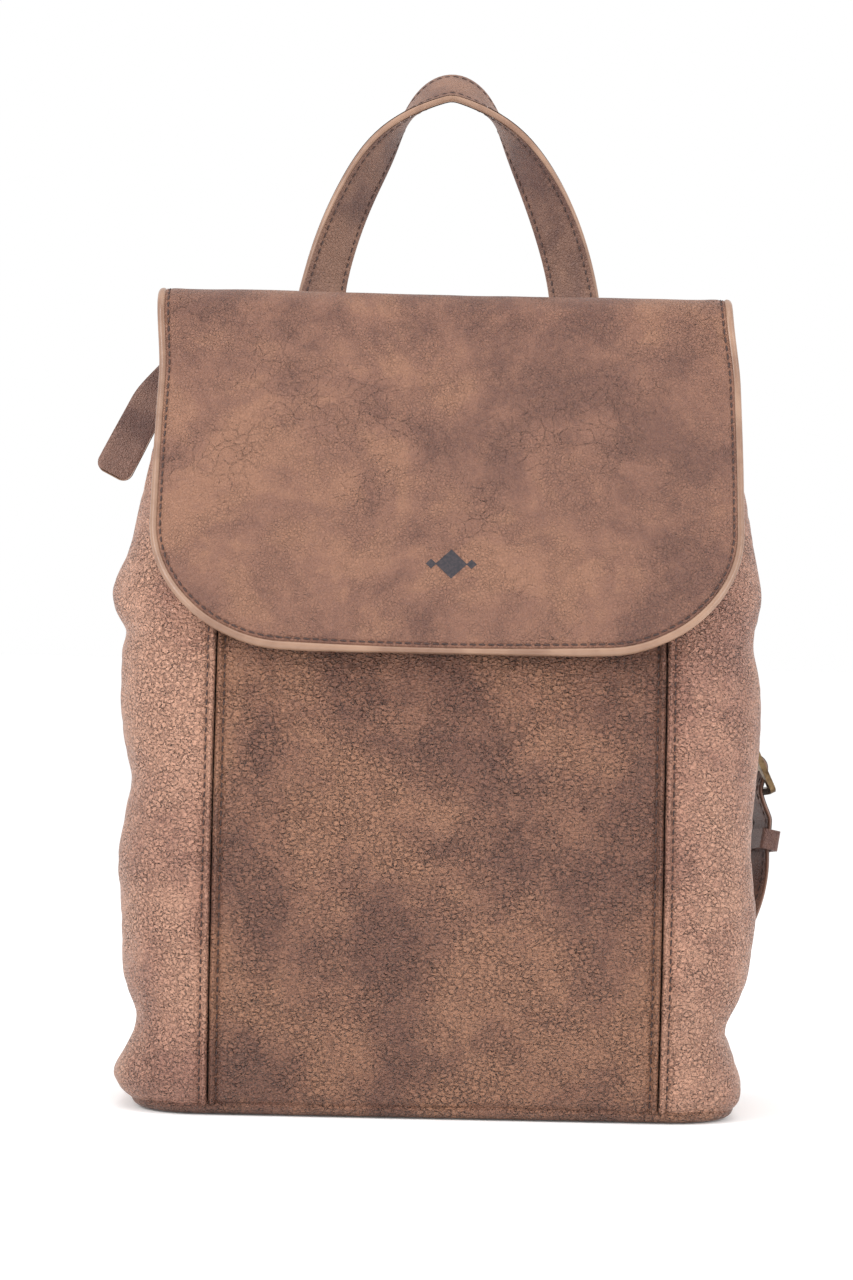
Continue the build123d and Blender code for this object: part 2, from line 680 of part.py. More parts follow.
bar_pitch = adjuster_middle / 2 + adjuster_slot + adjuster_bar / 2
weave = adjuster_thickness / 2 + tail_thickness / 2 + tail_play
for name, side in SIDES.items():
    top_end, bottom_end, along, outward = strap_line(side)
    swing_length = (bottom_end - top_end).length
    upper_cut = top_end + along * (swing_start * swing_length)
    lower_cut = top_end + along * (swing_end * swing_length)
    gap = along * (swing_gap * swing_length)

    down = Vector(0, 0, -1)
    facing = Vector(0, 1, 0)
    root_rows = [
        (Vector(side * strap_top_x, strap_y, strap_root_top), down, facing),
        (Vector(side * strap_top_x, strap_y, patch_high - patch_radius), down, facing),
        (Vector(side * strap_top_x, strap_y, patch_low), down, facing),
    ]
    root_rows += [strap_station(name, place) for place in steps(0.04, swing_start, 4)]
    root_widths = [strap_root_width] * 3 + [30.5, 32.0, 34.0, pad_top_width]
    strap_root = ribbon(root_rows, root_widths, root_y_low - strap_y, root_y_high - strap_y, ruled=True)
    keep(trimmed(strap_root, [], [half_space(upper_cut - gap, along * -1)]), f"{name}_strap_root")

    pad_places = steps(swing_start - 0.03, pad_end, 9)
    pad_rows = [strap_station(name, place) for place in pad_places]
    pad_taper = [(swing_start, pad_top_width), (pad_end, pad_end_width)]
    pad_widths = [eased(pad_taper, place) for place in pad_places]
    pad_inner = -(pad_leather + pad_backing) / 2
    pad_middle = pad_inner + pad_backing
    start = [half_space(upper_cut, along)]
    strap_pad = ribbon(pad_rows, pad_widths, pad_middle, pad_middle + pad_leather)
    keep(trimmed(strap_pad, [], start), f"{name}_strap_pad")
    strap_backing = ribbon(pad_rows, pad_widths, pad_inner, pad_middle)
    keep(trimmed(strap_backing, [], start), f"{name}_strap_backing")

    tail_rows = [strap_station(name, pad_end)]
    for bars_along in steps(-2, 1.75, 16):
        place = adjuster_place + bars_along * bar_pitch / swing_length
        past_bar = abs(bars_along) - 1
        rise = cos(pi * bars_along) if past_bar <= 0 else -cos(pi / 2 * past_bar)
        tail_rows.append(strap_station(name, place, weave * rise))
    tail_rows += [strap_station(name, place) for place in steps(0.76, swing_end + 0.02, 6)]
    strap_tail = ribbon(tail_rows, tail_width, -tail_thickness / 2, tail_thickness / 2, ruled=True)
    keep(trimmed(strap_tail, [], [half_space(lower_cut, along * -1)]), f"{name}_strap_tail")

    adjuster_inner = tail_width + 2 * adjuster_gap
    with BuildPart() as strap_adjuster:
        with BuildSketch(flat_plane(name, adjuster_place)):
            RectangleRounded(adjuster_inner + 2 * adjuster_side, 2 * bar_pitch + adjuster_bar, adjuster_side)
            with Locations((0, -bar_pitch / 2 - adjuster_shift), (0, bar_pitch / 2 + adjuster_shift)):
                Rectangle(adjuster_inner, adjuster_slot, mode=Mode.SUBTRACT)
        extrude(amount=adjuster_thickness / 2, both=True)
    keep(strap_adjuster.part, f"{name}_strap_adjuster")

    keeper_inner_width = tail_width + 2 * keeper_gap
    keeper_inner_depth = tail_thickness + 2 * keeper_gap
    with BuildPart() as strap_keeper:
        with BuildSketch(across_plane(name, keeper_place)):
            RectangleRounded(
                keeper_inner_width + 2 * keeper_wall, keeper_inner_depth + 2 * keeper_wall, keeper_wall
            )
            Rectangle(keeper_inner_width, keeper_inner_depth, mode=Mode.SUBTRACT)
        extrude(amount=keeper_length / 2, both=True)
    keep(strap_keeper.part, f"{name}_strap_keeper")

    bar_hole = ring_wire + 2 * loop_fit
    upper_bar = bottom_end + along * (loop_wall + bar_hole / 2)
    lower_bar = upper_bar + along * (ring_inner_length + ring_wire)
    with BuildPart() as strap_ring:
        with BuildSketch(Plane(origin=(upper_bar + lower_bar) / 2, x_dir=outward, z_dir=(0, 1, 0))):
            outer_width = ring_inner_width + 2 * ring_wire
            outer_length = ring_inner_length + 2 * ring_wire
            RectangleRounded(outer_width, outer_length, ring_corner + ring_wire)
            RectangleRounded(ring_inner_width, ring_inner_length, ring_corner, mode=Mode.SUBTRACT)
        extrude(amount=ring_wire / 2, both=True)
    keep(strap_ring.part, f"{name}_strap_ring")

    loop_rows = [strap_station(name, 0.9), (bottom_end + along * (loop_wall / 2), along, Vector(0, 1, 0))]
    loop_end = ribbon(loop_rows, tail_width, -tail_thickness / 2, tail_thickness / 2, ruled=True)
    loop_end = trimmed(loop_end, [], [half_space(lower_cut + gap, along)])
    loop_ring = strap_loop(upper_bar, outward, along, ring_wire + 2 * loop_play, bar_hole)
    keep(loop_end + loop_ring, f"{name}_tail_loop")

    foot_radius = base_radius + ring_tab_gap + tail_thickness / 2
    foot_turn = radians(ring_tab_angle)
    foot = Vector(
        side * (base_width / 2 - base_radius + foot_radius * sin(foot_turn)),
        back_face - base_radius + foot_radius * cos(foot_turn),
        ring_tab_foot,
    )
    tab_top = lower_bar + along * (bar_hole / 2 + loop_wall / 2)
    tab_rows = [
        (tab_top, along, Vector(0, 1, 0)),
        (tab_top * 0.55 + foot * 0.45, (foot - tab_top).normalized(), Vector(side * 0.3, 1, 0).normalized()),
        (foot, Vector(0, 0, -1), Vector(side * sin(foot_turn), cos(foot_turn), 0)),
    ]
    tab_rows[1] = (tab_rows[1][0], tab_rows[1][1], square_to(tab_rows[1][2], tab_rows[1][1]))
    ring_tab = ribbon(tab_rows, tail_width, -tail_thickness / 2, tail_thickness / 2)
    keep(ring_tab + strap_loop(lower_bar, outward, along, bar_hole, bar_hole), f"{name}_ring_tab")

os.makedirs("parts", exist_ok=True)
for part in made:
    export_step(part, f"parts/{part.label}.step")
    print(part.label, len(part.solids()), round(part.volume), part.is_valid)
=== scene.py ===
"""Leather flap backpack: the looks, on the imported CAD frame. Lengths in the geometry code are millimetres."""
import math

import bmesh
import bpy
import numpy as np
from mathutils import Matrix, Vector, noise


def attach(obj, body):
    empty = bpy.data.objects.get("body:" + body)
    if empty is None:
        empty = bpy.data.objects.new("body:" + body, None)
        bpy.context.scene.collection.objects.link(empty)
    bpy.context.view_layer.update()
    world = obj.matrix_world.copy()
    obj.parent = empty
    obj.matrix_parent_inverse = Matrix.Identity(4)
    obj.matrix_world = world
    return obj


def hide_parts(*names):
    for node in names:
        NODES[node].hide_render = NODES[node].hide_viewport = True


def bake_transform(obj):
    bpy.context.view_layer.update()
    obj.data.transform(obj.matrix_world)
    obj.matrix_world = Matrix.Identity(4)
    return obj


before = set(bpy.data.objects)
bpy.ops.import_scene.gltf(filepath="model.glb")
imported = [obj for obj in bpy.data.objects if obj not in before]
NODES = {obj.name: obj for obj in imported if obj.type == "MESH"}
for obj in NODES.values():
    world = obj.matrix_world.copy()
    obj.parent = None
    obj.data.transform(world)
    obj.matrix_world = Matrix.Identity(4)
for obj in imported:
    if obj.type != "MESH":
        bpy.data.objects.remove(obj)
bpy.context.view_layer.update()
MM = 0.001
SIDES = {"left": -1, "right": 1}
Y_AXIS = np.array([0.0, 1.0, 0.0])


# ==== Mesh helpers ====
def unit(vectors):
    """Vectors scaled to length 1."""
    vectors = np.asarray(vectors, float)
    return vectors / np.maximum(np.linalg.norm(vectors, axis=-1, keepdims=True), 1e-9)


def add_object(name, points, faces, material, smooth=True):
    """A mesh object from points in millimetres. It remembers where each point is at rest."""
    mesh = bpy.data.meshes.new(name)
    points = np.asarray(points, float).reshape(-1, 3) * MM
    mesh.from_pydata(points.tolist(), [], faces)
    rest = mesh.attributes.new("rest", "FLOAT_VECTOR", "POINT")
    rest.data.foreach_set("vector", points.astype(np.float32).ravel())
    mesh.polygons.foreach_set("use_smooth", [smooth] * len(mesh.polygons))
    mesh.materials.append(material)
    piece = bpy.data.objects.new(name, mesh)
    bpy.context.scene.collection.objects.link(piece)
    return piece


def grid_faces(rows, columns, offset=0, close_columns=False, close_rows=False, flip=False):
    """Quads over a grid of points stored row by row."""
    faces = []
    for r in range(rows if close_rows else rows - 1):
        for c in range(columns if close_columns else columns - 1):
            r2, c2 = (r + 1) % rows, (c + 1) % columns
            face = (offset + r * columns + c, offset + r * columns + c2,
                    offset + r2 * columns + c2, offset + r2 * columns + c)
            faces.append(face[::-1] if flip else face)
    return faces


def grid_object(name, points, material, **options):
    """An object from an array of points shaped rows by columns by 3."""
    rows, columns = points.shape[:2]
    return add_object(name, points, grid_faces(rows, columns, **options), material)


def subdivide(piece):
    """Smooths a piece."""
    modifier = piece.modifiers.new("smooth", "SUBSURF")
    modifier.levels = modifier.render_levels = 1


def thicken(piece, thickness, offset=-1.0):
    """Gives a sheet its thickness, inward by default."""
    modifier = piece.modifiers.new("thickness", "SOLIDIFY")
    modifier.thickness, modifier.offset = thickness * MM, offset
    modifier.use_even_offset = True


def soften(piece, width):
    """Rounds a piece's sharp edges."""
    modifier = piece.modifiers.new("bevel", "BEVEL")
    modifier.width, modifier.segments = width * MM, 2
    modifier.limit_method, modifier.angle_limit = "ANGLE", math.radians(40)
    modifier.harden_normals = False


def lengths_along(points):
    """How far along a line each of its points is."""
    return np.concatenate([[0], np.cumsum(np.linalg.norm(np.diff(points, axis=0), axis=1))])


def sample(where, keys, values):
    """Rows of values read at places given in terms of their rising keys."""
    return np.stack([np.interp(where, keys, column) for column in np.asarray(values, float).T], 1)


def bump_field(point, size, seed=0.0):
    """Smooth noise from about -1 to 1 whose lumps are size millimetres across."""
    return noise.noise(Vector((point[0] / size + seed, point[1] / size, point[2] / size)))


def bell(value, middle, width):
    """1 at the middle, falling to nothing over about two widths."""
    return np.exp(-(((value - middle) / width) ** 2))


def along_line(points, pitch):
    """Places every pitch along a line of points: (position, direction, index of the place in the line)."""
    points = np.asarray(points, float)
    lengths = lengths_along(points)
    count = max(2, int(round(lengths[-1] / pitch)))
    where = (np.arange(count) + 0.5) * lengths[-1] / count
    ahead, behind = sample(where + 0.4, lengths, points), sample(where - 0.4, lengths, points)
    return sample(where, lengths, points), unit(ahead - behind), np.interp(where, lengths, range(len(points)))


STITCH_PITCH, STITCH_LENGTH, THREAD_RADIUS, STITCH_TILT = 3.8, 2.9, 0.36, math.radians(7.0)


def stitch_rows(name, rows):
    """Thread stitches along rows of (points, outward normals), each a short arched tube."""
    points, faces = [], []
    # the arch of one stitch: how far along its length and how many radii up, then the tube's sides
    profile = [(-0.5, -1.1), (-0.38, 0.1), (-0.15, 0.62), (0.15, 0.62), (0.38, 0.1), (0.5, -1.1)]
    around = [(math.cos(a), math.sin(a)) for a in np.arange(6) * math.pi / 3]
    for line, normals in rows:
        position, direction, place = along_line(line, STITCH_PITCH)
        facing = sample(place, np.arange(len(normals)), normals)
        across = unit(np.cross(direction, facing))
        facing = unit(np.cross(across, direction))
        for middle, ahead, side, up in zip(position, direction, across, facing):
            forward = ahead * math.cos(STITCH_TILT) + side * math.sin(STITCH_TILT)
            sideways = side * math.cos(STITCH_TILT) - ahead * math.sin(STITCH_TILT)
            faces += grid_faces(len(profile), len(around), len(points), close_columns=True, flip=True)
            for reach, lift in profile:
                centre = middle + forward * reach * STITCH_LENGTH + up * lift * THREAD_RADIUS
                points += [centre + (sideways * c * 1.15 + up * s * 0.8) * THREAD_RADIUS for c, s in around]
    return add_object(name, points, faces, THREAD)


# ==== Materials ====
DIM = 0.60  # the studio's light is bright, so every colour is darker than it looks


def srgb(red, green, blue):
    """A colour given as 0 to 255 in sRGB, as the linear value shaders take."""
    def linear(value):
        value /= 255
        return value / 12.92 if value <= 0.04045 else ((value + 0.055) / 1.055) ** 2.4
    return (linear(red) * DIM, linear(green) * DIM, linear(blue) * DIM, 1.0)


class Shader:
    """A material under construction."""

    def __init__(self, name):
        self.material = bpy.data.materials.new(name)
        self.material.use_nodes = True
        self.tree = self.material.node_tree
        self.tree.nodes.clear()
        output = self.tree.nodes.new("ShaderNodeOutputMaterial")
        self.surface = self.tree.nodes.new("ShaderNodeBsdfPrincipled")
        self.tree.links.new(self.surface.outputs[0], output.inputs[0])

    def fill(self, node, inputs):
        """Links each of a node's inputs to the output given for it, or sets it to a constant."""
        for key, value in inputs.items():
            if isinstance(value, bpy.types.NodeSocket):
                self.tree.links.new(value, node.inputs[key])
            else:
                node.inputs[key].default_value = value

    def add(self, kind, output, inputs, **settings):
        """One of the outputs of a new node."""
        node = self.tree.nodes.new("ShaderNode" + kind)
        for key, value in settings.items():
            setattr(node, key, value)
        self.fill(node, inputs)
        return node.outputs[output]

    def set(self, name, value):
        """Gives one of the surface's inputs its value."""
        self.fill(self.surface, {name: value})

    def two_tone(self, value, low, high, dark, colour):
        """Colours the surface from dark to light as value rises from low to high."""
        self.set("Base Color", self.mix(self.ramp(value, low, high), srgb(*dark), srgb(*colour)))

    def rest(self, scale=(1, 1, 1)):
        """Where the point is on the piece at rest, in metres, stretched by scale."""
        place = self.add("Attribute", "Vector", {}, attribute_name="rest")
        return self.add("Mapping", 0, {"Vector": place, "Scale": scale})

    def object_place(self):
        """Where the point is on a CAD piece, in metres."""
        return self.add("TexCoord", "Object", {})

    def noise(self, place, scale, detail=4.0, roughness=0.5, distortion=0.0, output="Fac"):
        return self.add("TexNoise", output, {"Vector": place, "Scale": scale, "Detail": detail,
                                             "Roughness": roughness, "Distortion": distortion})

    def warp(self, place, scale, amount):
        """The place pushed about by noise, so that cells don't look regular."""
        pushes = self.noise(place, scale, 2.0, output="Color")
        centred = self.add("VectorMath", 0, {0: pushes, 1: (0.5, 0.5, 0.5)}, operation="SUBTRACT")
        scaled = self.add("VectorMath", 0, {0: centred, "Scale": amount}, operation="SCALE")
        return self.add("VectorMath", 0, {0: place, 1: scaled}, operation="ADD")

    def cells(self, place, scale):
        """Distance to the edge of the cell that the place is in."""
        return self.add("TexVoronoi", "Distance", {"Vector": place, "Scale": scale},
                        feature="DISTANCE_TO_EDGE")

    def ramp(self, value, low, high, to_low=0.0, to_high=1.0):
        """A value brought smoothly from one range to another."""
        return self.add("MapRange", 0, dict(enumerate((value, low, high, to_low, to_high))),
                        interpolation_type="SMOOTHSTEP")

    def math(self, operation, first, second):
        return self.add("Math", 0, {0: first, 1: second}, operation=operation)

    def mix(self, share, first, second, blend="MIX"):
        return self.add("Mix", 2, {0: share, 6: first, 7: second}, data_type="RGBA", blend_type=blend)

    def bump(self, height, depth, *normal):
        """depth is in millimetres for a height from 0 to 1."""
        inputs = {"Height": height, "Distance": depth * MM, "Strength": 1.0}
        return self.add("Bump", 0, inputs | {"Normal": before for before in normal})


def leather(name, light, middle, dark, pebble, pebble_depth, crease, roughness, on_cad=False, faint=0.0,
            stretch=1.0):
    """Mottled aniline leather, with painted shade darkening the creases of its grain.

    pebble and pebble_depth are the grain's size and depth in millimetres, crease is how much painted shade
    darkens the lines between the grains, faint is the depth of fine lines in patches, and stretch lengthens the
    grain.
    """
    shader = Shader(name)
    light, middle, dark = srgb(*light), srgb(*middle), srgb(*dark)
    place = shader.object_place() if on_cad else shader.rest()
    cloud = shader.noise(place, 15.0, 6.0, 0.62, 0.4)
    patch = shader.noise(place, 34.0, 4.0, 0.6, 0.3)
    fine = shader.noise(place, 420.0, 3.0, 0.6)
    clouds = shader.math("ADD", cloud, shader.math("MULTIPLY", shader.math("SUBTRACT", patch, 0.5), 0.35))
    lightness = shader.ramp(clouds, 0.35, 0.65)
    colour = shader.mix(shader.ramp(lightness, 0.0, 0.55), dark, middle)
    colour = shader.mix(shader.ramp(lightness, 0.5, 1.0), colour, light)

    grain_place = place if on_cad else shader.rest((1 / stretch, 1.0, stretch))
    edge = shader.cells(shader.warp(grain_place, 230.0, 0.0024), 1000.0 / pebble)
    small_edge = shader.cells(shader.warp(grain_place, 700.0, 0.0010), 1000.0 / (pebble * 0.5))
    # painted shade: the colour is darkened in the lines between the grains, where shade falls in the creases
    in_crease = shader.math("SUBTRACT", 1.0, shader.ramp(edge, 0.0, 0.16))
    patchy = shader.ramp(shader.noise(place, 60.0, 3.0), 0.35, 0.62, 0.5, 1.0)
    shade = shader.math("MULTIPLY", shader.math("MULTIPLY", in_crease, patchy), crease)
    crease_shade_colour = shader.mix(1.0, colour, (0.32, 0.24, 0.22, 1.0), "MULTIPLY")
    colour = shader.mix(shade, colour, crease_shade_colour)
    shader.set("Base Color", shader.mix(shader.ramp(fine, 0.35, 0.7, 0.0, 0.22), colour, light))

    uneven = shader.math("MULTIPLY", shader.math("SUBTRACT", fine, 0.5), 0.3)
    shader.set("Roughness", shader.math("ADD", roughness, uneven))
    shader.set("Specular IOR Level", 0.42)
    shader.set("Sheen Weight", 0.03)
    shader.set("Sheen Roughness", 0.5)

    normal = ()
    if faint:
        lines = shader.cells(shader.warp(place, 45.0, 0.02), 150.0)
        spots = shader.ramp(shader.noise(place, 20.0, 2.0), 0.5, 0.66)
        line = shader.math("MULTIPLY", shader.math("SUBTRACT", 1.0, shader.ramp(lines, 0.0, 0.07)), spots)
        normal = (shader.bump(shader.math("SUBTRACT", 1.0, line), faint),)
    grain = shader.math("MULTIPLY", shader.ramp(edge, 0.0, 0.22), patchy)
    normal = shader.bump(grain, pebble_depth, *normal)
    normal = shader.bump(shader.ramp(small_edge, 0.0, 0.25), pebble_depth * 0.4, normal)
    shader.set("Normal", shader.bump(fine, 0.05, normal))
    return shader.material


def metal(name, colour, dark):
    """Aged antique-brass hardware."""
    shader = Shader(name)
    place = shader.object_place()
    worn = shader.noise(place, 260.0, 5.0, 0.6)
    shader.two_tone(worn, 0.35, 0.65, dark, colour)
    shader.set("Metallic", 1.0)
    shader.set("Roughness", shader.ramp(worn, 0.3, 0.7, 0.45, 0.26))
    shader.set("Normal", shader.bump(shader.noise(place, 1900.0, 2.0), 0.02))
    return shader.material


def woven(name, colour, dark, size=0.7):
    """Plain-weave cloth with threads size millimetres apart."""
    shader = Shader(name)
    place = shader.object_place()
    x, y, z = shader.add("SeparateXYZ", 0, {0: place}).node.outputs
    turn = 2 * math.pi / (size * MM)
    weft = shader.math("SINE", shader.math("MULTIPLY", shader.math("ADD", x, y), turn), 0.0)
    warp = shader.math("SINE", shader.math("MULTIPLY", z, turn), 0.0)
    weave = shader.ramp(shader.math("MULTIPLY", weft, warp), -1.0, 1.0)
    slub = shader.noise(place, 300.0, 3.0)
    shade = shader.math("ADD", shader.math("MULTIPLY", weave, 0.6), shader.math("MULTIPLY", slub, 0.4))
    shader.set("Base Color", shader.mix(shade, srgb(*dark), srgb(*colour)))
    shader.set("Roughness", 0.85)
    shader.set("Sheen Weight", 0.25)
    shader.set("Normal", shader.bump(weave, 0.12))
    return shader.material


def speckled(name, colour, dark, scale, detail, high):
    """A matt finish of two shades, for thread and for a pressed mark."""
    shader = Shader(name)
    speck = shader.noise(shader.rest(), scale, detail)
    shader.two_tone(speck, 0.35, high, dark, colour)
    shader.set("Roughness", 0.6)
    shader.set("Normal", shader.bump(speck, 0.06))
    return shader.material


def painted_edge(name, colour, dark):
    """Smooth edge paint over cut leather, a little uneven."""
    shader = Shader(name)
    place = shader.rest()
    uneven = shader.noise(place, 55.0, 4.0, 0.6)
    small = shader.noise(place, 420.0, 2.0)
    shader.two_tone(uneven, 0.3, 0.7, dark, colour)
    shader.set("Roughness", shader.ramp(small, 0.3, 0.7, 0.3, 0.42))
    shader.set("Normal", shader.bump(small, 0.04, shader.bump(uneven, 0.25)))
    return shader.material


STRAP_SHADES = (172, 128, 106), (150, 110, 93), (118, 82, 73)
BODY_LEATHER = leather("body_leather", (188, 134, 104), (166, 115, 91), (136, 90, 73), 2.3, 1.0, 0.6, 0.4,
                       stretch=1.2)
# painted light: the gussets are the body's leather, coloured lighter where the side lights fall on them
GUSSET_LEATHER_PAINTED_LIGHT = leather("gusset_leather", (236, 178, 149), (220, 162, 136), (190, 135, 115), 2.2, 1.0, 0.6,
                         0.38, stretch=1.15)
FLAP_LEATHER = leather("flap_leather", (180, 128, 100), (159, 110, 89), (130, 86, 71), 1.4, 0.32, 0.35, 0.45,
                       faint=0.45)
STRAP_LEATHER = leather("strap_leather", *STRAP_SHADES, 1.6, 0.26, 0.22, 0.5)
TAB_LEATHER = leather("tab_leather", (166, 126, 110), (150, 113, 100), (122, 88, 80), 1.4, 0.3, 0.25, 0.5)
CAD_LEATHER = leather("cad_leather", *STRAP_SHADES, 1.6, 0.26, 0.22, 0.5, on_cad=True)
BACKING = leather("flap_backing", (150, 116, 98), (134, 101, 86), (112, 80, 70), 1.1, 0.1, 0.25, 0.72)
EDGE = painted_edge("edge_paint", (192, 152, 126), (160, 121, 99))
EDGE_DARK = painted_edge("edge_paint_dark", (160, 120, 100), (130, 94, 80))
THREAD = speckled("thread", (92, 62, 54), (62, 40, 36), 1600.0, 2.0, 0.65)
INK = speckled("pressed_mark", (74, 62, 66), (40, 36, 46), 900.0, 3.0, 0.75)
BRASS = metal("aged_brass", (150, 124, 92), (92, 72, 54))
LINING_CLOTH = woven("lining_cloth", (86, 70, 64), (58, 46, 43))
TAPE_CLOTH = woven("tape_cloth", (70, 54, 48), (44, 33, 30), 0.9)
BOARD = woven("fibre_board", (150, 132, 108), (120, 104, 84), 1.4)
FOAM = woven("foam_sheet", (214, 212, 204), (190, 188, 180), 1.1)


# ==== Body: a soft shell ====
HEIGHTS = [0, 40, 125, 212, 268, 321, 330]
HALF_WIDTHS = [127, 131, 132, 135, 127, 114, 111.5]
FRONTS = [-60, -66, -67, -56, -32, 0, 5.5]
RADII = [30, 36, 38, 36, 28, 20, 19]
BACK = 60.0
# how far each panel reaches from the middle, or for a gusset from seam to seam
FRONT_SEAM, BACK_SEAM = 93.0, 98.0
PANEL_SPANS = {"gusset": 190.0, "front": FRONT_SEAM, "back": BACK_SEAM}
PANEL_SEEDS = {"gusset": 3, "front": 11, "back": 23}  # which noise each panel's lumps come from
PANEL_LUMPS = {"gusset": 1.0, "front": 0.75, "back": 0.5}
RIM_HEIGHT, STITCH_INSET = 321, 3.5
# soft features of the sides: height, depth outward, spread, and rise from the front seam to the back
FOLDS = {
    "left": [(217, 5.5, 13, 6), (200, -3.0, 6, 14), (137, -2.6, 10, -12), (106, 2.4, 14, 10),
             (37, -5.5, 11, -8), (13, 7.0, 9, -4)],
    "right": [(222, 1.8, 12, 8), (198, -3.6, 12, 12), (86, 3.0, 15, -8), (38, -10.0, 14, 6),
              (13, 1.8, 9, 4)],
}


def smooth_value(height, values):
    """A value between the stations of the body, without corners."""
    last = len(HEIGHTS) - 1
    place = np.interp(height, HEIGHTS, range(last + 1))
    low = int(min(max(math.floor(place), 0), last - 1))
    t, gap = place - low, HEIGHTS[low + 1] - HEIGHTS[low]
    slopes = np.diff(values) / np.diff(HEIGHTS)
    start = slopes[low] if low == 0 else (slopes[low] + slopes[low - 1]) / 2
    end = slopes[low] if low == last - 1 else (slopes[low] + slopes[low + 1]) / 2
    return ((2 * t**3 - 3 * t**2 + 1) * values[low] + (t**3 - 2 * t**2 + t) * start * gap
            + (3 * t**2 - 2 * t**3) * values[low + 1] + (t**3 - t**2) * end * gap)


def half_outline(height):
    """The right half of the body's outline in plan, from the front's middle to the back's middle."""
    half, front, radius = (smooth_value(height, v) for v in (HALF_WIDTHS, FRONTS, RADII))
    turns = np.linspace(0, math.pi / 2, 24)
    front_arc = np.stack([half - radius + radius * np.sin(turns), front + radius - radius * np.cos(turns)], 1)
    back_arc = np.stack([half - radius + radius * np.cos(turns), BACK - radius + radius * np.sin(turns)], 1)
    return np.concatenate([[[0, front]], front_arc, back_arc, [[0, BACK]]])


def walk(outline, start, end, shares):
    """Points at shares of the way between two lengths along an outline."""
    return sample(start + (end - start) * shares, lengths_along(outline), outline)


def walk_tangent(outline, start, end, shares, step):
    """Directions of travel along the same walk."""
    ahead, behind = np.clip(shares + step, 0, 1), np.clip(shares - step, 0, 1)
    return unit(walk(outline, start, end, ahead) - walk(outline, start, end, behind))


def back_seam_length(outline):
    """How far along the outline the seam to the back panel is."""
    back = outline[:, 1] > BACK / 2
    return float(np.interp(-BACK_SEAM, -outline[back, 0], lengths_along(outline)[back]))


def seam_height(away):
    """Height of the leather beside a turned and topstitched seam, away from its line."""
    away = np.abs(away)
    return (-1.6 * bell(away, 0, 0.42) + 1.35 * bell(away, 1.75, 1.05) - 0.75 * bell(away, 3.5, 0.75)
            + 0.5 * bell(away, 9, 6))


NEAR_SEAM = [0, 0.35, 0.7, 1.1, 1.5, 1.9, 2.4, 2.9, 3.3, 3.7, 4.2, 5.0, 6.2, 8.0, 10.5, 13.5, 17.0]
BODY_ROWS = np.concatenate([np.linspace(3.0, 14.0, 8), np.linspace(16.5, 312.0, 128),
                            np.linspace(314, RIM_HEIGHT, 4)])


def spaced(total, near_start, near_end):
    """Distances from 0 to total, close together near the seams at either end."""
    first = list(NEAR_SEAM) if near_start else [0.0]
    last = [total - value for value in NEAR_SEAM][::-1] if near_end else [total]
    count = max(3, int((last[0] - first[-1]) / 3.2))
    return np.array(first + list(np.linspace(first[-1], last[0], count + 1)[1:-1]) + last)


def soft_lumps(point, seed, size):
    """Gentle unevenness of soft leather over its stiffening, in millimetres."""
    broad = bump_field(point, 62.0, seed) * 1.5
    middle = bump_field(point, 24.0, seed + 7) * 0.55
    folds = abs(bump_field((point[0], point[1], point[2] * 1.9), 19.0, seed + 3))
    return (broad + middle - max(0.0, 0.16 - folds) * 3.2) * size


def bottom_tuck(height):
    """How far the panels turn in above the seam to the base."""
    return 3.4 * max(0.0, 1 - (height - 3.0) / 5.5) ** 2


def body_surface(part, side, height, distances):
    """Points and normals across one panel at a height. distances run from the front seam or the middle."""
    outline = half_outline(height)
    start, end = {"gusset": (FRONT_SEAM, back_seam_length(outline)), "front": (0.0, FRONT_SEAM),
                  "back": (back_seam_length(outline), lengths_along(outline)[-1])}[part]
    shares = distances / PANEL_SPANS[part]
    flat = walk(outline, start, end, shares)
    tangent = walk_tangent(outline, start, end, shares, 0.004)
    points = np.column_stack([flat, np.full(len(flat), height)])
    normals = np.column_stack([tangent[:, 1], -tangent[:, 0], np.zeros(len(flat))])
    from_start, from_end = shares * (end - start), (1 - shares) * (end - start)
    lift = np.zeros(len(flat))
    if part != "back":
        lift += seam_height(from_start if part == "gusset" else from_end)
    if part != "front":
        lift += 0.8 * seam_height(from_end if part == "gusset" else from_start)
    size = np.full(len(flat), PANEL_LUMPS[part])
    if part == "gusset":
        for middle, depth, spread, rise in FOLDS["left" if side < 0 else "right"]:
            across = np.sin(np.pi * np.clip(shares, 0, 1)) ** 0.8
            centre = middle + rise * (shares - 0.4) * 2
            lift += depth * across * np.exp(-(((height - centre) / spread) ** 2))
        size *= np.minimum(1.0, 0.25 + np.minimum(from_start, from_end) / 25)
    for number, point in enumerate(points):
        lift[number] += soft_lumps(point * (side, 1, 1), PANEL_SEEDS[part], size[number])
    top_fade = min(1.0, max(0.0, (RIM_HEIGHT - height) / 18))
    lift = lift * (0.35 + 0.65 * top_fade) - bottom_tuck(height)
    return (points + normals * lift[:, None]) * (side, 1, 1), normals * (side, 1, 1)


def body_panel(name, part, material, node):
    """One panel, or for the front and back its two halves in one."""
    sides = (SIDES[name.split("_")[0]],) if part == "gusset" else (-1, 1)
    distances = spaced(PANEL_SPANS[part], part != "front", part != "back")
    rows = []
    for height in BODY_ROWS:
        strips = [body_surface(part, side, height, distances)[0] for side in sides]
        if part == "front":
            rows.append(np.concatenate([strips[0][::-1], strips[1][1:]]))
        elif part == "back":
            rows.append(np.concatenate([strips[0], strips[1][::-1][1:]]))
        else:
            rows.append(strips[0])
    flip = part == "back" or (part == "gusset" and sides[0] < 0)
    piece = grid_object(name, np.array(rows), material, flip=flip)
    thicken(piece, 1.9)
    subdivide(piece)
    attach(piece, "bag")
    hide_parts(node)


body_panel("front_panel_leather", "front", BODY_LEATHER, "front_panel")
body_panel("back_panel_leather", "back", BODY_LEATHER, "back_panel")
for side_name in SIDES:
    body_panel(f"{side_name}_gusset", "gusset", GUSSET_LEATHER_PAINTED_LIGHT, f"{side_name}_side_panel")

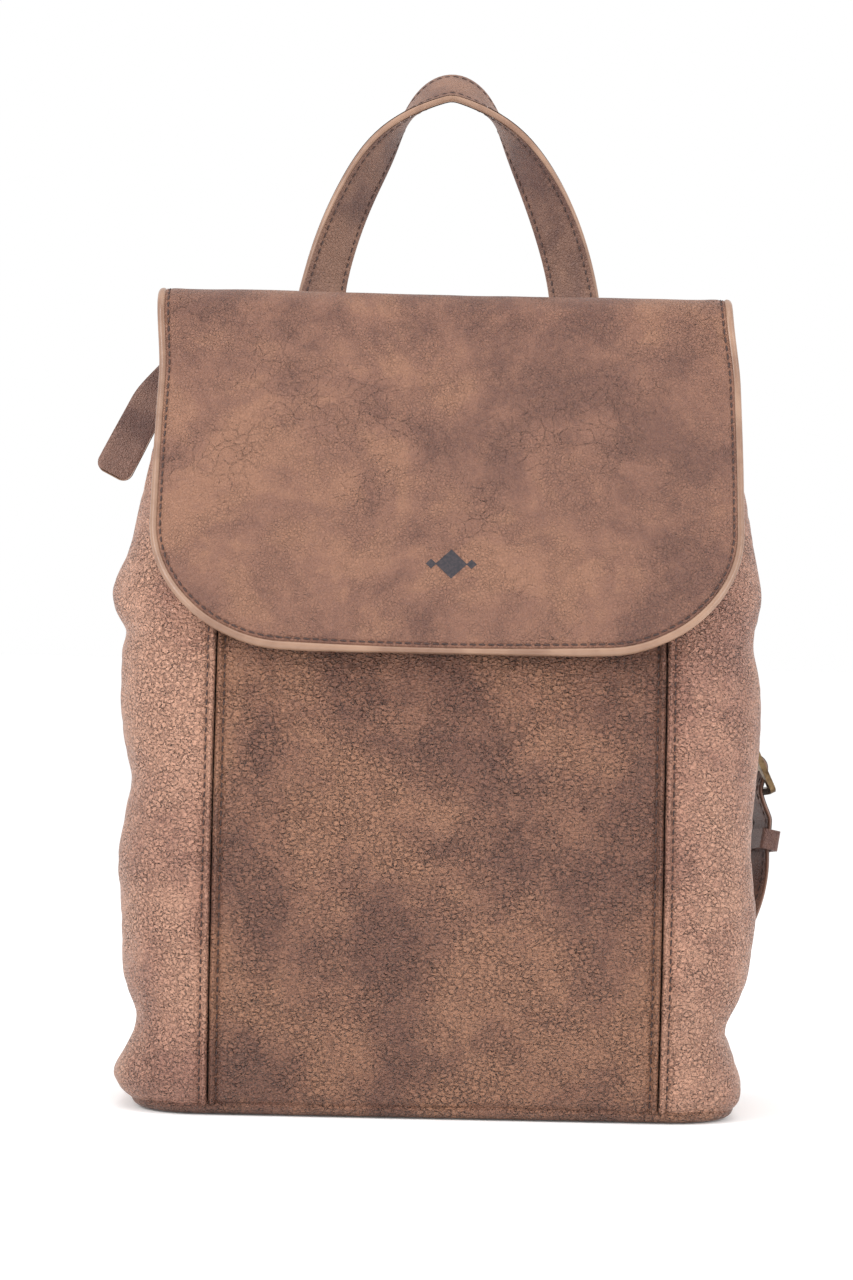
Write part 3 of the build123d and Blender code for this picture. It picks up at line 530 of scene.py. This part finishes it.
seam_rows = []
for side in SIDES.values():
    for part in ("front", "gusset"):
        line = []
        for height in np.linspace(6, 318, 130):
            place = FRONT_SEAM - STITCH_INSET
            if part == "gusset":
                reach = back_seam_length(half_outline(height)) - FRONT_SEAM
                place = STITCH_INSET * PANEL_SPANS[part] / reach
            line.append(np.concatenate(body_surface(part, side, height, np.array([place]))))
        seam_rows.append(np.array(line).transpose(1, 0, 2))
stitches = stitch_rows("front_seam_stitches", seam_rows)
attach(stitches, "bag")

# ---- Base ----
base_rows = []
for height, inset in [(9.0, 4.2), (6.5, 2.6), (5.0, 1.2), (3.6, 0.9), (2.2, 1.5), (1.1, 2.8), (0.35, 4.6),
                      (0.0, 7.0), (0.0, 14.0), (0.0, 30.0), (0.0, 52.0)]:
    outline = half_outline(max(height, 2.0))
    length = lengths_along(outline)[-1]
    shares = np.linspace(0, 1, 90)
    flat = walk(outline, 0, length, shares)
    tangent = walk_tangent(outline, 0, length, shares, 0.01)
    flat = flat - np.stack([tangent[:, 1], -tangent[:, 0]], 1) * inset
    flat[:, 0] = np.maximum(flat[:, 0], 0)
    half = np.column_stack([flat, np.full(len(flat), height)])
    base_rows.append(np.concatenate([half, (half * (-1, 1, 1))[::-1][1:-1]]))
base_rows.append(np.tile([0.0, 0.0, 0.0], (len(base_rows[0]), 1)))
base = grid_object("base_leather", np.array(base_rows), BODY_LEATHER, close_columns=True, flip=True)
subdivide(base)
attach(base, "bag")
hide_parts("base_panel")


# ---- Lining ----
lining_rows = []
for height in np.concatenate([[8.0, 12.0], np.linspace(18, 317, 60)]):
    half_rows = []
    for side in (-1, 1):
        strips = []
        for part, depth in (("front", 4.2), ("gusset", 4.2), ("back", 8.3)):
            points, normals = body_surface(part, side, height, np.linspace(0, PANEL_SPANS[part], 16))
            strips.append((points - normals * depth)[1:-1])
        half_rows.append(np.concatenate(strips))
    lining_rows.append(np.concatenate([half_rows[1], half_rows[0][::-1]]))
lining_rows.insert(0, lining_rows[0] * (0.9, 0.9, 0.0) + (0, 0, 5.2))
lining_rows.insert(0, np.tile([0.0, 0.0, 5.2], (len(lining_rows[0]), 1)))
lining = grid_object("lining", np.array(lining_rows), LINING_CLOTH, close_columns=True, flip=True)
thicken(lining, 0.8, 1.0)
subdivide(lining)
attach(lining, "bag")
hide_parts("lining_bag")


# ==== Flap ====
def rounded_route(corners, radii):
    """A line through corners with each inner corner rounded, as points about a millimetre apart."""
    corners = [np.array(c, float) for c in corners]
    line = [corners[0]]
    for before, here, after, radius in zip(corners, corners[1:], corners[2:], radii):
        back, ahead = unit(before - here), unit(after - here)
        angle = math.acos(float(np.clip(back @ ahead, -1, 1)))
        reach = radius / math.tan(angle / 2)
        centre = here + unit(back + ahead) * radius / math.sin(angle / 2)
        start, end = here + back * reach - centre, here + ahead * reach - centre
        sweep = math.pi - angle
        for share in np.linspace(0, 1, max(4, int(sweep * radius))):
            turned = (start * math.sin((1 - share) * sweep) + end * math.sin(share * sweep)) / math.sin(sweep)
            line.append(centre + turned)
    line.append(corners[-1])
    line = np.array(line)
    lengths = lengths_along(line)
    even = np.linspace(0, lengths[-1], int(lengths[-1]) + 1)
    return even, sample(even, lengths, line)


FLAP_LENGTHS, FLAP_ROUTE = rounded_route(
    [(61.7, 290), (61.7, 344.6), (-2.6, 345.2), (-38.6, 268), (-62.4, 212), (-66.6, 192.5)],
    [15, 15, 120, 60],
)
FLAP_END = FLAP_LENGTHS[-1]
FRONT_FOLD = float(FLAP_LENGTHS[np.argmin(np.abs(FLAP_ROUTE[:, 0] + 1.2) + (FLAP_ROUTE[:, 1] < 330) * 99)])
ROOF_MIDDLE = float(FLAP_LENGTHS[np.argmin(np.abs(FLAP_ROUTE[:, 0] - 27) + (FLAP_ROUTE[:, 1] < 340) * 99)])
CAP_START = FLAP_END - 72.0
CORNER = 56.0


def eased(value, low, high):
    """0 below low, 1 above high and smooth between."""
    share = np.clip((np.asarray(value, float) - low) / (high - low), 0, 1)
    return share * share * (3 - 2 * share)


def flap_half_width(length):
    """Half the flap's width at a length from its root."""
    return 123.0 + 1.0 * eased(length, FRONT_FOLD, FRONT_FOLD + 85)


def flap_place(flat):
    """Points on the face between the flap's leather and lining, from flat (across, along) places."""
    across, along = flat[:, 0], flat[:, 1]
    y = np.interp(along, FLAP_LENGTHS, FLAP_ROUTE[:, 0])
    z = np.interp(along, FLAP_LENGTHS, FLAP_ROUTE[:, 1])
    on_front = eased(along, FRONT_FOLD, FRONT_FOLD + 40)
    y = y + on_front * (7.0 * (np.abs(across) / 122) ** 5 + 1.2 * np.cos(across / 31) - 0.8)
    sag = 1.0 * bell(across, 20, 60) * bell(along, ROOF_MIDDLE, 26)
    z = z - sag
    x = across - 1.5 * eased(along, 30, 80) + 2.6 * on_front
    return np.stack([x, y, z], 1)


def flap_frame(flat):
    """Points and outward normals over the flap."""
    step_x, step_s = np.array([0.5, 0.0]), np.array([0.0, 0.5])
    along_x = flap_place(flat + step_x) - flap_place(flat - step_x)
    along_s = flap_place(flat + step_s) - flap_place(flat - step_s)
    return flap_place(flat), unit(np.cross(along_x, along_s)) * -1.0


def flap_ring(inset, upper_rows):
    """A U line at an inset from the flap's edge: down the left side, round the bottom, up the right."""
    half = flap_half_width(FLAP_END)
    height = FLAP_END - CAP_START
    if inset <= 12:
        drop, round_x, round_s = inset, CORNER - inset, CORNER - inset
    else:
        share = (inset - 12) / (half - 12)
        drop = 12 + (height - 12) * share
        round_x = round_s = (CORNER - 12) * (1 - share)
    side_end = FLAP_END - drop - round_s
    left = [(-(flap_half_width(s) - min(inset, flap_half_width(s))), s) for s in upper_rows]
    cap = [(-(half - inset), s) for s in np.linspace(CAP_START, side_end, 6)[1:]]
    for turn in np.linspace(0, math.pi / 2, 26)[1:]:
        cap.append((-(half - inset) + round_x * (1 - math.cos(turn)), side_end + round_s * math.sin(turn)))
    bottom_x = half - inset - round_x
    cap += [(x, FLAP_END - drop) for x in np.linspace(-bottom_x, 0, 20)[1:]]
    lower = cap + [(-x, s) for x, s in cap[::-1][1:]]
    right = [(-x, s) for x, s in left[::-1]]
    ring = np.array(left + lower + right)
    convex = 2.6 * (1 - np.clip(np.abs(ring[:, 0]) / 90, 0, 1) ** 2) * eased(ring[:, 1], CAP_START, FLAP_END)
    ring[:, 1] += convex - 1.6 * eased(ring[:, 1], CAP_START, FLAP_END)
    return ring


BACK_ROWS = np.concatenate([np.arange(0, ROOF_MIDDLE - 1, 1.6), [ROOF_MIDDLE]])
FRONT_ROWS = np.concatenate([[ROOF_MIDDLE], np.arange(ROOF_MIDDLE + 1.6, CAP_START - 0.8, 1.6), [CAP_START]])
EDGE_PROFILE = [(3.5, 0.9), (3.2, 1.35), (2.7, 1.85), (2.0, 2.05), (1.2, 1.9), (0.5, 1.4), (0.0, 0.55),
                (0.0, -0.45), (0.5, -1.3), (1.2, -1.7), (2.0, -1.8), (2.8, -1.7), (3.5, -1.0)]
LEATHER_INSETS = np.concatenate([[3.0, 3.3, 3.7, 4.1, 4.5, 4.9, 5.3, 5.8, 6.5, 7.5, 9.0, 11.0, 13.5],
                                 np.linspace(16.5, 115, 38), [119.5, 124.0]])


LEATHER_FACE, LINING_FACE = 1.8, -1.6  # heights over the flap's middle
FLAP_STITCH_INSET, FLAP_STITCH_HEIGHT = 4.75, 1.35


def flap_leather_height(inset):
    """Height of the leather's face over the flap's middle, dipping along the stitching."""
    return (LEATHER_FACE - 0.9 * bell(inset, 2.9, 0.5) - 0.6 * bell(inset, FLAP_STITCH_INSET, 0.55)
            + 0.15 * bell(inset, 8, 3))


def flap_lumps(point):
    """Gentle unevenness of the flap's leather."""
    return 0.55 * bump_field(point, 48.0, 31) + 0.18 * bump_field(point, 17.0, 5)


def flap_lines(inset, front_half):
    """The line at an inset round half of the flap: one U for the front half, two legs for the back."""
    rows = FRONT_ROWS if front_half else BACK_ROWS
    ring = flap_ring(inset, rows)
    return [ring] if front_half else [ring[:len(rows)], ring[-len(rows):]]


def flap_sheet(name, front_half, outer, material):
    """One face of half of the flap: its leather, or its lining."""
    rings = []
    for inset in LEATHER_INSETS:
        height = flap_leather_height(inset) if outer else LINING_FACE
        calm = min(1.0, max(0.0, (inset - 6) / 25))
        strips = []
        for flat in flap_lines(inset, front_half):
            points, normals = flap_frame(flat)
            lift = np.array([height + flap_lumps(point) * calm for point in points])
            strips.append(points + normals * lift[:, None])
        rings.append(np.concatenate(strips))
    leg, total = len(strips[0]), len(rings[0])
    # no face joins the end of one leg to the start of the next
    faces = [face for face in grid_faces(len(rings), total, flip=outer)
             if not {leg - 1, leg} <= {corner % total for corner in face}]
    piece = add_object(name, rings, faces, material)
    made = bmesh.new()
    made.from_mesh(piece.data)
    bmesh.ops.remove_doubles(made, verts=made.verts, dist=0.00002)
    made.to_mesh(piece.data)
    made.free()
    for polygon in piece.data.polygons:
        polygon.use_smooth = True
    return piece


def flap_edge(name, front_half):
    """The painted edge round half of the flap."""
    points, faces = [], []
    for leg in range(len(flap_lines(0, front_half))):
        loops = []
        for inset, height in EDGE_PROFILE:
            places, normals = flap_frame(flap_lines(inset, front_half)[leg])
            loops.append(places + normals * height)
        faces += grid_faces(len(loops), len(loops[0]), len(points), close_rows=True)
        points += list(np.concatenate(loops))
    return add_object(name, points, faces, EDGE)


def flap_stitches(name, front_half):
    """The row of stitching inside the edge of half of the flap."""
    lines = []
    for flat in flap_lines(FLAP_STITCH_INSET, front_half):
        points, normals = flap_frame(flat)
        lines.append((points + normals * FLAP_STITCH_HEIGHT, normals))
    return stitch_rows(name, lines)


for end_name, front_half in (("back", False), ("front", True)):
    made = [flap_sheet(f"flap_leather_{end_name}", front_half, True, FLAP_LEATHER),
            flap_sheet(f"flap_lining_{end_name}", front_half, False, BACKING),
            flap_edge(f"flap_edge_{end_name}", front_half),
            flap_stitches(f"flap_stitches_{end_name}", front_half)]
    for piece in made:
        if front_half:
            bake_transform(piece)
        else:
            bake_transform(piece)
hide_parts("flap_root_leather", "flap_roof_leather")
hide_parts("flap_root_lining", "flap_roof_lining")
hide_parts("flap_front_leather")
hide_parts("flap_front_lining")
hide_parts("flap_edge_binding")

# ---- Pressed mark on the flap ----
MARK_PLACE = float(np.interp(-229.0, -FLAP_ROUTE[-150:, 1], FLAP_LENGTHS[-150:]))
MARK_SIDE = 2.0
mark_points, mark_faces = [], []
steps = np.linspace(-1, 1, 9)
for half_size, shift in ((6.6, 0.0), (2.2, 8.4), (2.2, -8.4)):
    flat = [((a - b) / 2 * half_size + shift + MARK_SIDE, (a + b) / 2 * half_size + MARK_PLACE)
            for a in steps for b in steps]
    mark_faces += grid_faces(len(steps), len(steps), len(mark_points), flip=True)
    for point, normal in zip(*flap_frame(np.array(flat))):
        mark_points.append(point + normal * (LEATHER_FACE + flap_lumps(point) + 0.07))
mark = add_object("pressed_mark", mark_points, mark_faces, INK)
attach(mark, "flap_front")
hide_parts("emblem")


# ==== Ribbons: handle and shoulder straps ====
def evenly(points, pitch):
    """A line resampled every pitch."""
    lengths = lengths_along(points)
    even = np.linspace(0, lengths[-1], int(lengths[-1] / pitch) + 1)
    return sample(even, lengths, points)


def smoothed(values, passes):
    """A line with its corners eased, its ends kept."""
    values = np.array(values, float)
    for _ in range(passes):
        values[1:-1] = (values[:-2] + 2 * values[1:-1] + values[2:]) / 4
    return values


def frames(line, facing):
    """Directions across and outer normals along a line, the normals as near to facing as they can be."""
    tangent = unit(np.gradient(line, axis=0))
    normal = unit(facing - tangent * np.sum(facing * tangent, axis=1, keepdims=True))
    return np.cross(tangent, normal), normal


STRAP_STITCH_INSET, EDGE_ROUND = 3.0, 1.0


def face_height(across, half, thickness, crown):
    """Height of a strap's face over its middle, with a dip along each row of stitches."""
    crown *= min(1.0, thickness / 5)
    seam = half - STRAP_STITCH_INSET
    middle = crown * (1 - np.clip(np.abs(across) / max(seam, 1), 0, 1) ** 2.6)
    dip = 0.35 * bell(np.abs(across), seam, 0.55)
    edge = 0.5 * np.clip((np.abs(across) - half + 1.6) / 1.6, 0, 1) ** 2
    return thickness / 2 + middle - dip - edge


def ribbon(prefix, line, across, normal, halves, thickness, crowns, edge_material, seed, rough=0.25):
    """A strap: its outer and inner faces, painted edges, ends, and two rows of stitches on each face."""
    halves = np.broadcast_to(halves, len(line))
    thickness = np.broadcast_to(thickness, len(line))
    stations = list(zip(line, across, normal, halves, thickness))
    steps = np.concatenate([[-1], np.linspace(-0.94, 0.94, 21), [1]])
    made = []
    for face, crown in zip((1, -1), crowns):
        rows = []
        for point, sideways, up, half, thick in stations:
            reach = half - 0.7
            row = []
            for place, height in zip(steps * reach, face_height(steps * reach, half, thick, crown)):
                here = point + sideways * place
                bump = rough * bump_field(here, 16.0, seed + face) + 0.1 * bump_field(here, 6.0, seed)
                row.append(here + up * face * (height + bump * (1 - (abs(place) / reach) ** 4)))
            rows.append(row)
        name = f"{prefix}_{'outer' if face > 0 else 'inner'}"
        made.append(grid_object(name, np.array(rows), STRAP_LEATHER, flip=face > 0))
    turns = np.linspace(-math.pi / 2, math.pi / 2, 9)
    sides = {}
    for side in (-1, 1):
        sides[side] = np.array([[point + sideways * side * (half - EDGE_ROUND + math.cos(t))
                                 + up * math.sin(t) * (thick / 2 - 0.42) for t in turns]
                                for point, sideways, up, half, thick in stations])
    faces = grid_faces(len(line), len(turns), flip=True)
    faces += grid_faces(len(line), len(turns), len(line) * len(turns))
    made.append(add_object(f"{prefix}_edge", np.concatenate([sides[-1], sides[1]]), faces, edge_material))
    caps = [np.concatenate([sides[1][end], sides[-1][end][::-1]]) for end in (0, -1)]
    first, last = range(2 * len(turns)), range(2 * len(turns), 4 * len(turns))
    made.append(add_object(f"{prefix}_ends", caps, [tuple(first), tuple(last)[::-1]], edge_material, False))
    rows = []
    for face, crown in zip((1, -1), crowns):
        for side in (-1, 1):
            inset = halves - STRAP_STITCH_INSET
            lift = np.array([face_height(*row, crown) + 0.1 for row in zip(inset, halves, thickness)])
            seam = line + across * (side * inset)[:, None] + normal * face * lift[:, None]
            rows.append((seam, normal * face))
    made.append(stitch_rows(f"{prefix}_stitches", rows))
    return made


# ---- Carry handle ----
ROOT_Y = 65.4  # the handle and the shoulder straps start in one plane behind the back panel
HANDLE_HALF, HANDLE_THICKNESS = 11.4, 4.0
HANDLE_SPAN, HANDLE_FOOT, HANDLE_TOP, HANDLE_FULLNESS = 56.5, 347.0, 448.0, 1.32
turns = np.radians(np.linspace(0, 180, 91))
rise, reach = np.abs(np.sin(turns)), -np.cos(turns)
arch = np.stack([
    HANDLE_SPAN * np.abs(reach) ** HANDLE_FULLNESS * np.sign(reach),
    ROOT_Y + 13.0 * (1 - (1 - rise) ** 4) + 9.0 * rise**3,
    HANDLE_FOOT + (HANDLE_TOP - HANDLE_FOOT) * rise**HANDLE_FULLNESS,
], 1)
leg = np.arange(299.0, HANDLE_FOOT - 0.5, 2.0)
left_leg = np.stack([np.full(len(leg), -HANDLE_SPAN), np.full(len(leg), ROOT_Y), leg], 1)
handle_line = np.concatenate([left_leg, arch, (left_leg * (-1, 1, 1))[::-1]])
handle_line = smoothed(evenly(handle_line, 1.5), 12)
twist_heights = [331, 340, 350, 358, 379, 393, 407, 414, 421, 428, 436, 445]
left_twist = np.interp(handle_line[:, 2], twist_heights, [0, 12, 28, 35, 41, 46, 51, 56, 65, 80, 100, 124])
right_twist = np.interp(handle_line[:, 2], twist_heights, [0, 8, 17, 22, 27, 35, 48, 56, 66, 80, 100, 124])
handle_twist = np.radians(smoothed(np.where(handle_line[:, 0] < 0, left_twist, right_twist), 20))[:, None]
handle_across, handle_normal = frames(handle_line, Y_AXIS)
handle_normal = handle_normal * np.cos(handle_twist) + handle_across * np.sin(handle_twist)
handle_across = np.cross(unit(np.gradient(handle_line, axis=0)), handle_normal)
handle_pieces = ribbon("handle", handle_line, handle_across, handle_normal, HANDLE_HALF, HANDLE_THICKNESS,
                       (0.5, 0.3), EDGE, 41.0)
for piece in handle_pieces:
    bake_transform(piece)
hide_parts("handle_leather", "left_handle_root", "right_handle_root")
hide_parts("handle_lining")


# ---- Yoke patch over the roots ----
def rounded_plate(half_x, half_z, radius, inset):
    """The outline of a rounded rectangle, set in, as points round the origin in X and Z."""
    radius = max(radius - inset, 0.8)
    half_x, half_z = half_x - inset, half_z - inset
    points = []
    for sign_x, sign_z, start in ((1, 1, 0), (-1, 1, 90), (-1, -1, 180), (1, -1, 270)):
        for turn in np.radians(start + np.linspace(0, 90, 7)):
            points.append((sign_x * (half_x - radius) + radius * math.cos(turn),
                           sign_z * (half_z - radius) + radius * math.sin(turn)))
    return np.array(points)


def patch_loop(inset, height):
    """A closed line of the patch's outline at a height over its back."""
    flat = rounded_plate(*PATCH, inset)
    flat = np.concatenate([flat, flat[:1]])
    closed = evenly(np.column_stack([flat[:, 0], np.zeros(len(flat)), flat[:, 1]]), 2.0)
    places = np.linspace(0, len(closed) - 1, PATCH_POINTS + 1)[:-1]
    return sample(places, np.arange(len(closed)), closed) + (0, PATCH_BACK + height, PATCH_MIDDLE)


PATCH, PATCH_POINTS = (72.0, 24.5, 10.0), 200
PATCH_BACK, PATCH_MIDDLE = 67.35, 301.5
patch_profile = [(0.3, 0.0), (0.0, 0.5), (0.0, 1.2), (0.4, 1.75), (1.0, 1.9), (2.4, 1.7), (3.0, 1.45),
                 (3.6, 1.7), (5.0, 2.0), (9.0, 2.1), (14.0, 2.15), (19.0, 2.15), (23.0, 2.15)]
patch_rows = [patch_loop(inset, height) for inset, height in patch_profile]
for row in patch_rows:
    for point in row:
        point[1] += 0.15 * bump_field(point, 18.0, 4.0)
patch = grid_object("yoke_patch_leather", np.array(patch_rows), STRAP_LEATHER, close_columns=True)
patch_middle = patch_rows[-1]
patch_cap = add_object("yoke_patch_middle", patch_middle, [tuple(range(len(patch_middle)))], STRAP_LEATHER)
loop = patch_loop(3.0, 1.5)
loop = np.concatenate([loop, loop[:1]])
patch_stitches = stitch_rows("yoke_patch_stitches", [(loop, [Y_AXIS] * len(loop))])
for piece in (patch, patch_cap, patch_stitches):
    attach(piece, "bag")
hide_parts("yoke_patch")


# ---- Shoulder straps ----
STRAP_ROLL = {"left": 66.0, "right": 16.0}


def strap_frame(side):
    """Top end, bottom end and outward direction of the line that a strap swings about."""
    top_end, bottom_end = np.array([side * 24.0, ROOT_Y, 276.0]), np.array([side * 110.0, ROOT_Y, 42.0])
    return top_end, bottom_end, np.cross(unit(bottom_end - top_end), np.array([0, side, 0]))


def strap_points(name, places):
    """The middle of a strap at places from 0 at its top end to 1 at its bottom end."""
    top_end, bottom_end, outward = strap_frame(SIDES[name])
    roll = math.radians(STRAP_ROLL[name])
    places = np.asarray(places, float)[:, None]
    bow = 67.0 * np.sin(np.pi * np.clip(places, 0, 1) ** 1.8)
    bulge = outward * math.cos(roll) + Y_AXIS * math.sin(roll)
    return top_end + (bottom_end - top_end) * places + bulge * bow


def strap_normals(name, line, places):
    """Directions across and outer normals of a strap."""
    outward = strap_frame(SIDES[name])[2]
    roll = STRAP_ROLL[name]
    knots = [0, 0.25, 0.56, 0.8, 0.965]
    twist = np.interp(places, knots, [90, (90 + roll) / 2 + 9, roll, roll, 90])
    twist = np.radians(smoothed(twist, 30))[:, None]
    return frames(line, outward * np.cos(twist) + Y_AXIS * np.sin(twist))


for name, side in SIDES.items():
    top_end, bottom_end, _ = strap_frame(side)
    root = np.stack([np.full(15, side * 24.0), np.full(15, ROOT_Y), np.linspace(311, 278, 15)], 1)
    bow_places = np.linspace(0.0, 0.575, 90)
    line = np.concatenate([root, strap_points(name, bow_places)])
    places = np.concatenate([np.zeros(15), bow_places])
    lengths = lengths_along(line)
    even = np.linspace(0, lengths[-1], int(lengths[-1] / 1.6) + 1)
    line, places = smoothed(sample(even, lengths, line), 6), np.interp(even, lengths, places)
    across, normal = strap_normals(name, line, places)
    padding = eased(places, 0.16, 0.27) * (1 - eased(places, 0.54, 0.575))
    halves = 15.0 + 3.0 * eased(places, 0.08, 0.25) - 5.0 * eased(places, 0.3, 0.56)
    halves = halves - 2.0 * eased(places, 0.55, 0.575)
    thick = 3.4 + 2.6 * padding
    pieces = ribbon(f"{name}_strap", line, across, normal, halves, thick, (1.6, 0.9), EDGE_DARK, 50.0 + side)
    for piece in pieces:
        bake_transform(piece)
    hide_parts(f"{name}_strap_root", f"{name}_strap_pad")
    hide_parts(f"{name}_strap_backing")

    length = float(np.linalg.norm(bottom_end - top_end))
    tail_places = np.linspace(0.555, 0.972, 190)
    line = strap_points(name, tail_places)
    across, normal = strap_normals(name, line, tail_places)
    bars = (tail_places - 0.66) * length / (3.6 / 2 + 8.6 + 1.5)
    inner = np.clip(np.abs(bars), 0, 1)
    outer = np.clip(np.abs(bars) - 1, 0, 1)
    weave = 3.1 * np.where(np.abs(bars) <= 1, np.cos(np.pi * inner), -np.cos(np.pi / 2 * outer))
    line = smoothed(line + normal * weave[:, None], 3)
    across, normal = strap_normals(name, line, tail_places)
    pieces = ribbon(f"{name}_tail", line, across, normal, 11.0, 2.3, (0.2, 0.1), EDGE_DARK, 60.0 + side, 0.1)
    for piece in pieces:
        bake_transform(piece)
    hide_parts(f"{name}_strap_tail")


# ---- Leather tab on the zip ----
TAB_TOP, TAB_LEAN, TAB_LENGTH = np.array([-115.5, 27.45, 325.55]), math.radians(27.0), 66.0
tab_down = np.array([-math.sin(TAB_LEAN), 0, -math.cos(TAB_LEAN)])
tab_across = np.array([math.cos(TAB_LEAN), 0, -math.sin(TAB_LEAN)])


def tab_half(length, inset):
    """Half the tab's width at a length down it."""
    half = 3.2 + 5.5 * eased(length, 3, 32) + 0.3 * eased(length, 30, 60)
    over = np.clip(length - (TAB_LENGTH - 5.0), 0, 5.0)
    return half - 5.0 + np.sqrt(np.maximum(25.0 - over**2, 0)) - inset * (1 - over / 12)


def tab_point(length, across, height):
    bow = 1.2 * math.sin(math.pi * min(max(length, 0), TAB_LENGTH) / TAB_LENGTH)
    return TAB_TOP + tab_down * length + tab_across * across + Y_AXIS * (-height - bow)


lengths = np.concatenate([np.linspace(-3.2, 60, 48), 61 + 5 * np.sin(np.linspace(0.1, math.pi / 2, 10))])
tab_pieces = []
for face in (1, -1):
    rows = []
    for length in lengths:
        inset_length = min(length, TAB_LENGTH - 0.8)
        half = tab_half(min(length, TAB_LENGTH - 0.02), 0.8)
        rows.append([])
        for step in np.linspace(-1, 1, 15):
            point = tab_point(inset_length, step * half, 0)
            bump = 0.2 * bump_field(point, 9.0, 71.0 + face)
            edge = 0.4 * max(0.0, (abs(step) - 0.8) / 0.2) ** 2
            rows[-1].append(tab_point(inset_length, step * half, face * (1.6 + bump - edge)))
    tab_pieces.append(grid_object(f"zip_tab_{'front' if face > 0 else 'back'}", np.array(rows), TAB_LEATHER,
                                  flip=face < 0))
border = [(length, -tab_half(min(length, TAB_LENGTH - 0.02), 0.9)) for length in lengths]
border += [(TAB_LENGTH, across) for across in np.linspace(-3.4, 3.4, 7)]
border += [(length, -across) for length, across in border[:len(lengths)][::-1]]
border = np.array(border)
outward = unit(np.stack([-np.gradient(border[:, 1]), np.gradient(border[:, 0])], 1))
edge_rows = []
for turn in np.linspace(-math.pi / 2, math.pi / 2, 9):
    shifted = border + outward * 0.9 * math.cos(turn)
    edge_rows.append([tab_point(s, a, 1.35 * math.sin(turn)) for s, a in shifted])
tab_pieces.append(grid_object("zip_tab_edge", np.array(edge_rows), EDGE))
for piece in tab_pieces:
    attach(piece, "zip_tab")
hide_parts("zip_pull_tab")


# ==== CAD pieces that show as they are ====
looks = [
    (BRASS, 0.35, ["zip_slider", "zip_puller", "snap_socket", "snap_socket_washer", "snap_stud"]
     + [f"{s}_strap_{n}" for s in SIDES for n in ("adjuster", "ring")]),
    (BRASS, 0.25, [f"zip_teeth_{n}" for n in ("left", "right", "front", "back")]),
    (TAPE_CLOTH, 0.0, [f"zip_tape_{n}" for n in ("left", "right", "front", "back")]),
    (CAD_LEATHER, 0.45, ["rim_facing", "facing_front", "facing_back"]
     + [f"{s}_{n}" for s in SIDES for n in ("tail_loop", "ring_tab", "strap_keeper")]),
    (BOARD, 0.2, ["base_board"]),
    (FOAM, 0.5, ["back_foam"]),
]
for material, rounding, names in looks:
    for node_name in names:
        node = NODES[node_name]
        node.data.materials.clear()
        node.data.materials.append(material)
        if rounding:
            soften(node, rounding)


# ==== Floor, light and camera ====
floor_white = Shader("floor_white")
floor_white.set("Base Color", (0.97, 0.97, 0.97, 1.0))
floor_white.set("Roughness", 0.9)
floor_white.set("Specular IOR Level", 0.1)
floor_white.set("Emission Color", (1.0, 1.0, 1.0, 1.0))
floor_white.set("Emission Strength", 0.06)
bpy.ops.mesh.primitive_plane_add(size=60.0, location=(0, 0, -0.0002))
floor = bpy.context.object
floor.name = "floor"
floor.data.materials.append(floor_white.material)

world = bpy.data.worlds.new("studio")
bpy.context.scene.world = world
world.use_nodes = True
world.node_tree.nodes["Background"].inputs[0].default_value = (1.0, 1.0, 1.0, 1.0)
world.node_tree.nodes["Background"].inputs[1].default_value = 1.0


def softbox(name, location, target, size, power):
    """A rectangular white studio light facing its target."""
    light = bpy.data.lights.new(name, "AREA")
    light.shape, light.size, light.size_y = "RECTANGLE", size[0], size[1]
    light.energy = power
    lamp = bpy.data.objects.new(name, light)
    bpy.context.scene.collection.objects.link(lamp)
    lamp.location = location
    lamp.rotation_euler = (Vector(target) - Vector(location)).to_track_quat("-Z", "Y").to_euler()


softbox("key_left", (-1.25, -0.95, 0.95), (0, 0, 0.2), (0.7, 1.1), 17.0)
softbox("key_right", (1.35, -0.7, 0.7), (0, 0, 0.2), (0.6, 1.0), 11.0)
softbox("top", (0.0, -0.35, 1.6), (0, 0, 0.3), (1.2, 0.8), 6.0)

camera_data = bpy.data.cameras.new("camera")
camera_data.sensor_fit, camera_data.sensor_height, camera_data.lens = "VERTICAL", 36.0, 107.0
camera = bpy.data.objects.new("camera", camera_data)
bpy.context.scene.collection.objects.link(camera)
camera.location = (-0.0065, -1.630, 0.198)
camera.rotation_euler = (Matrix.Rotation(math.radians(90), 4, "X")
                         @ Matrix.Rotation(math.radians(1.2), 4, "Z")).to_euler()
bpy.context.scene.camera = camera
bpy.context.scene.view_settings.view_transform = "Standard"
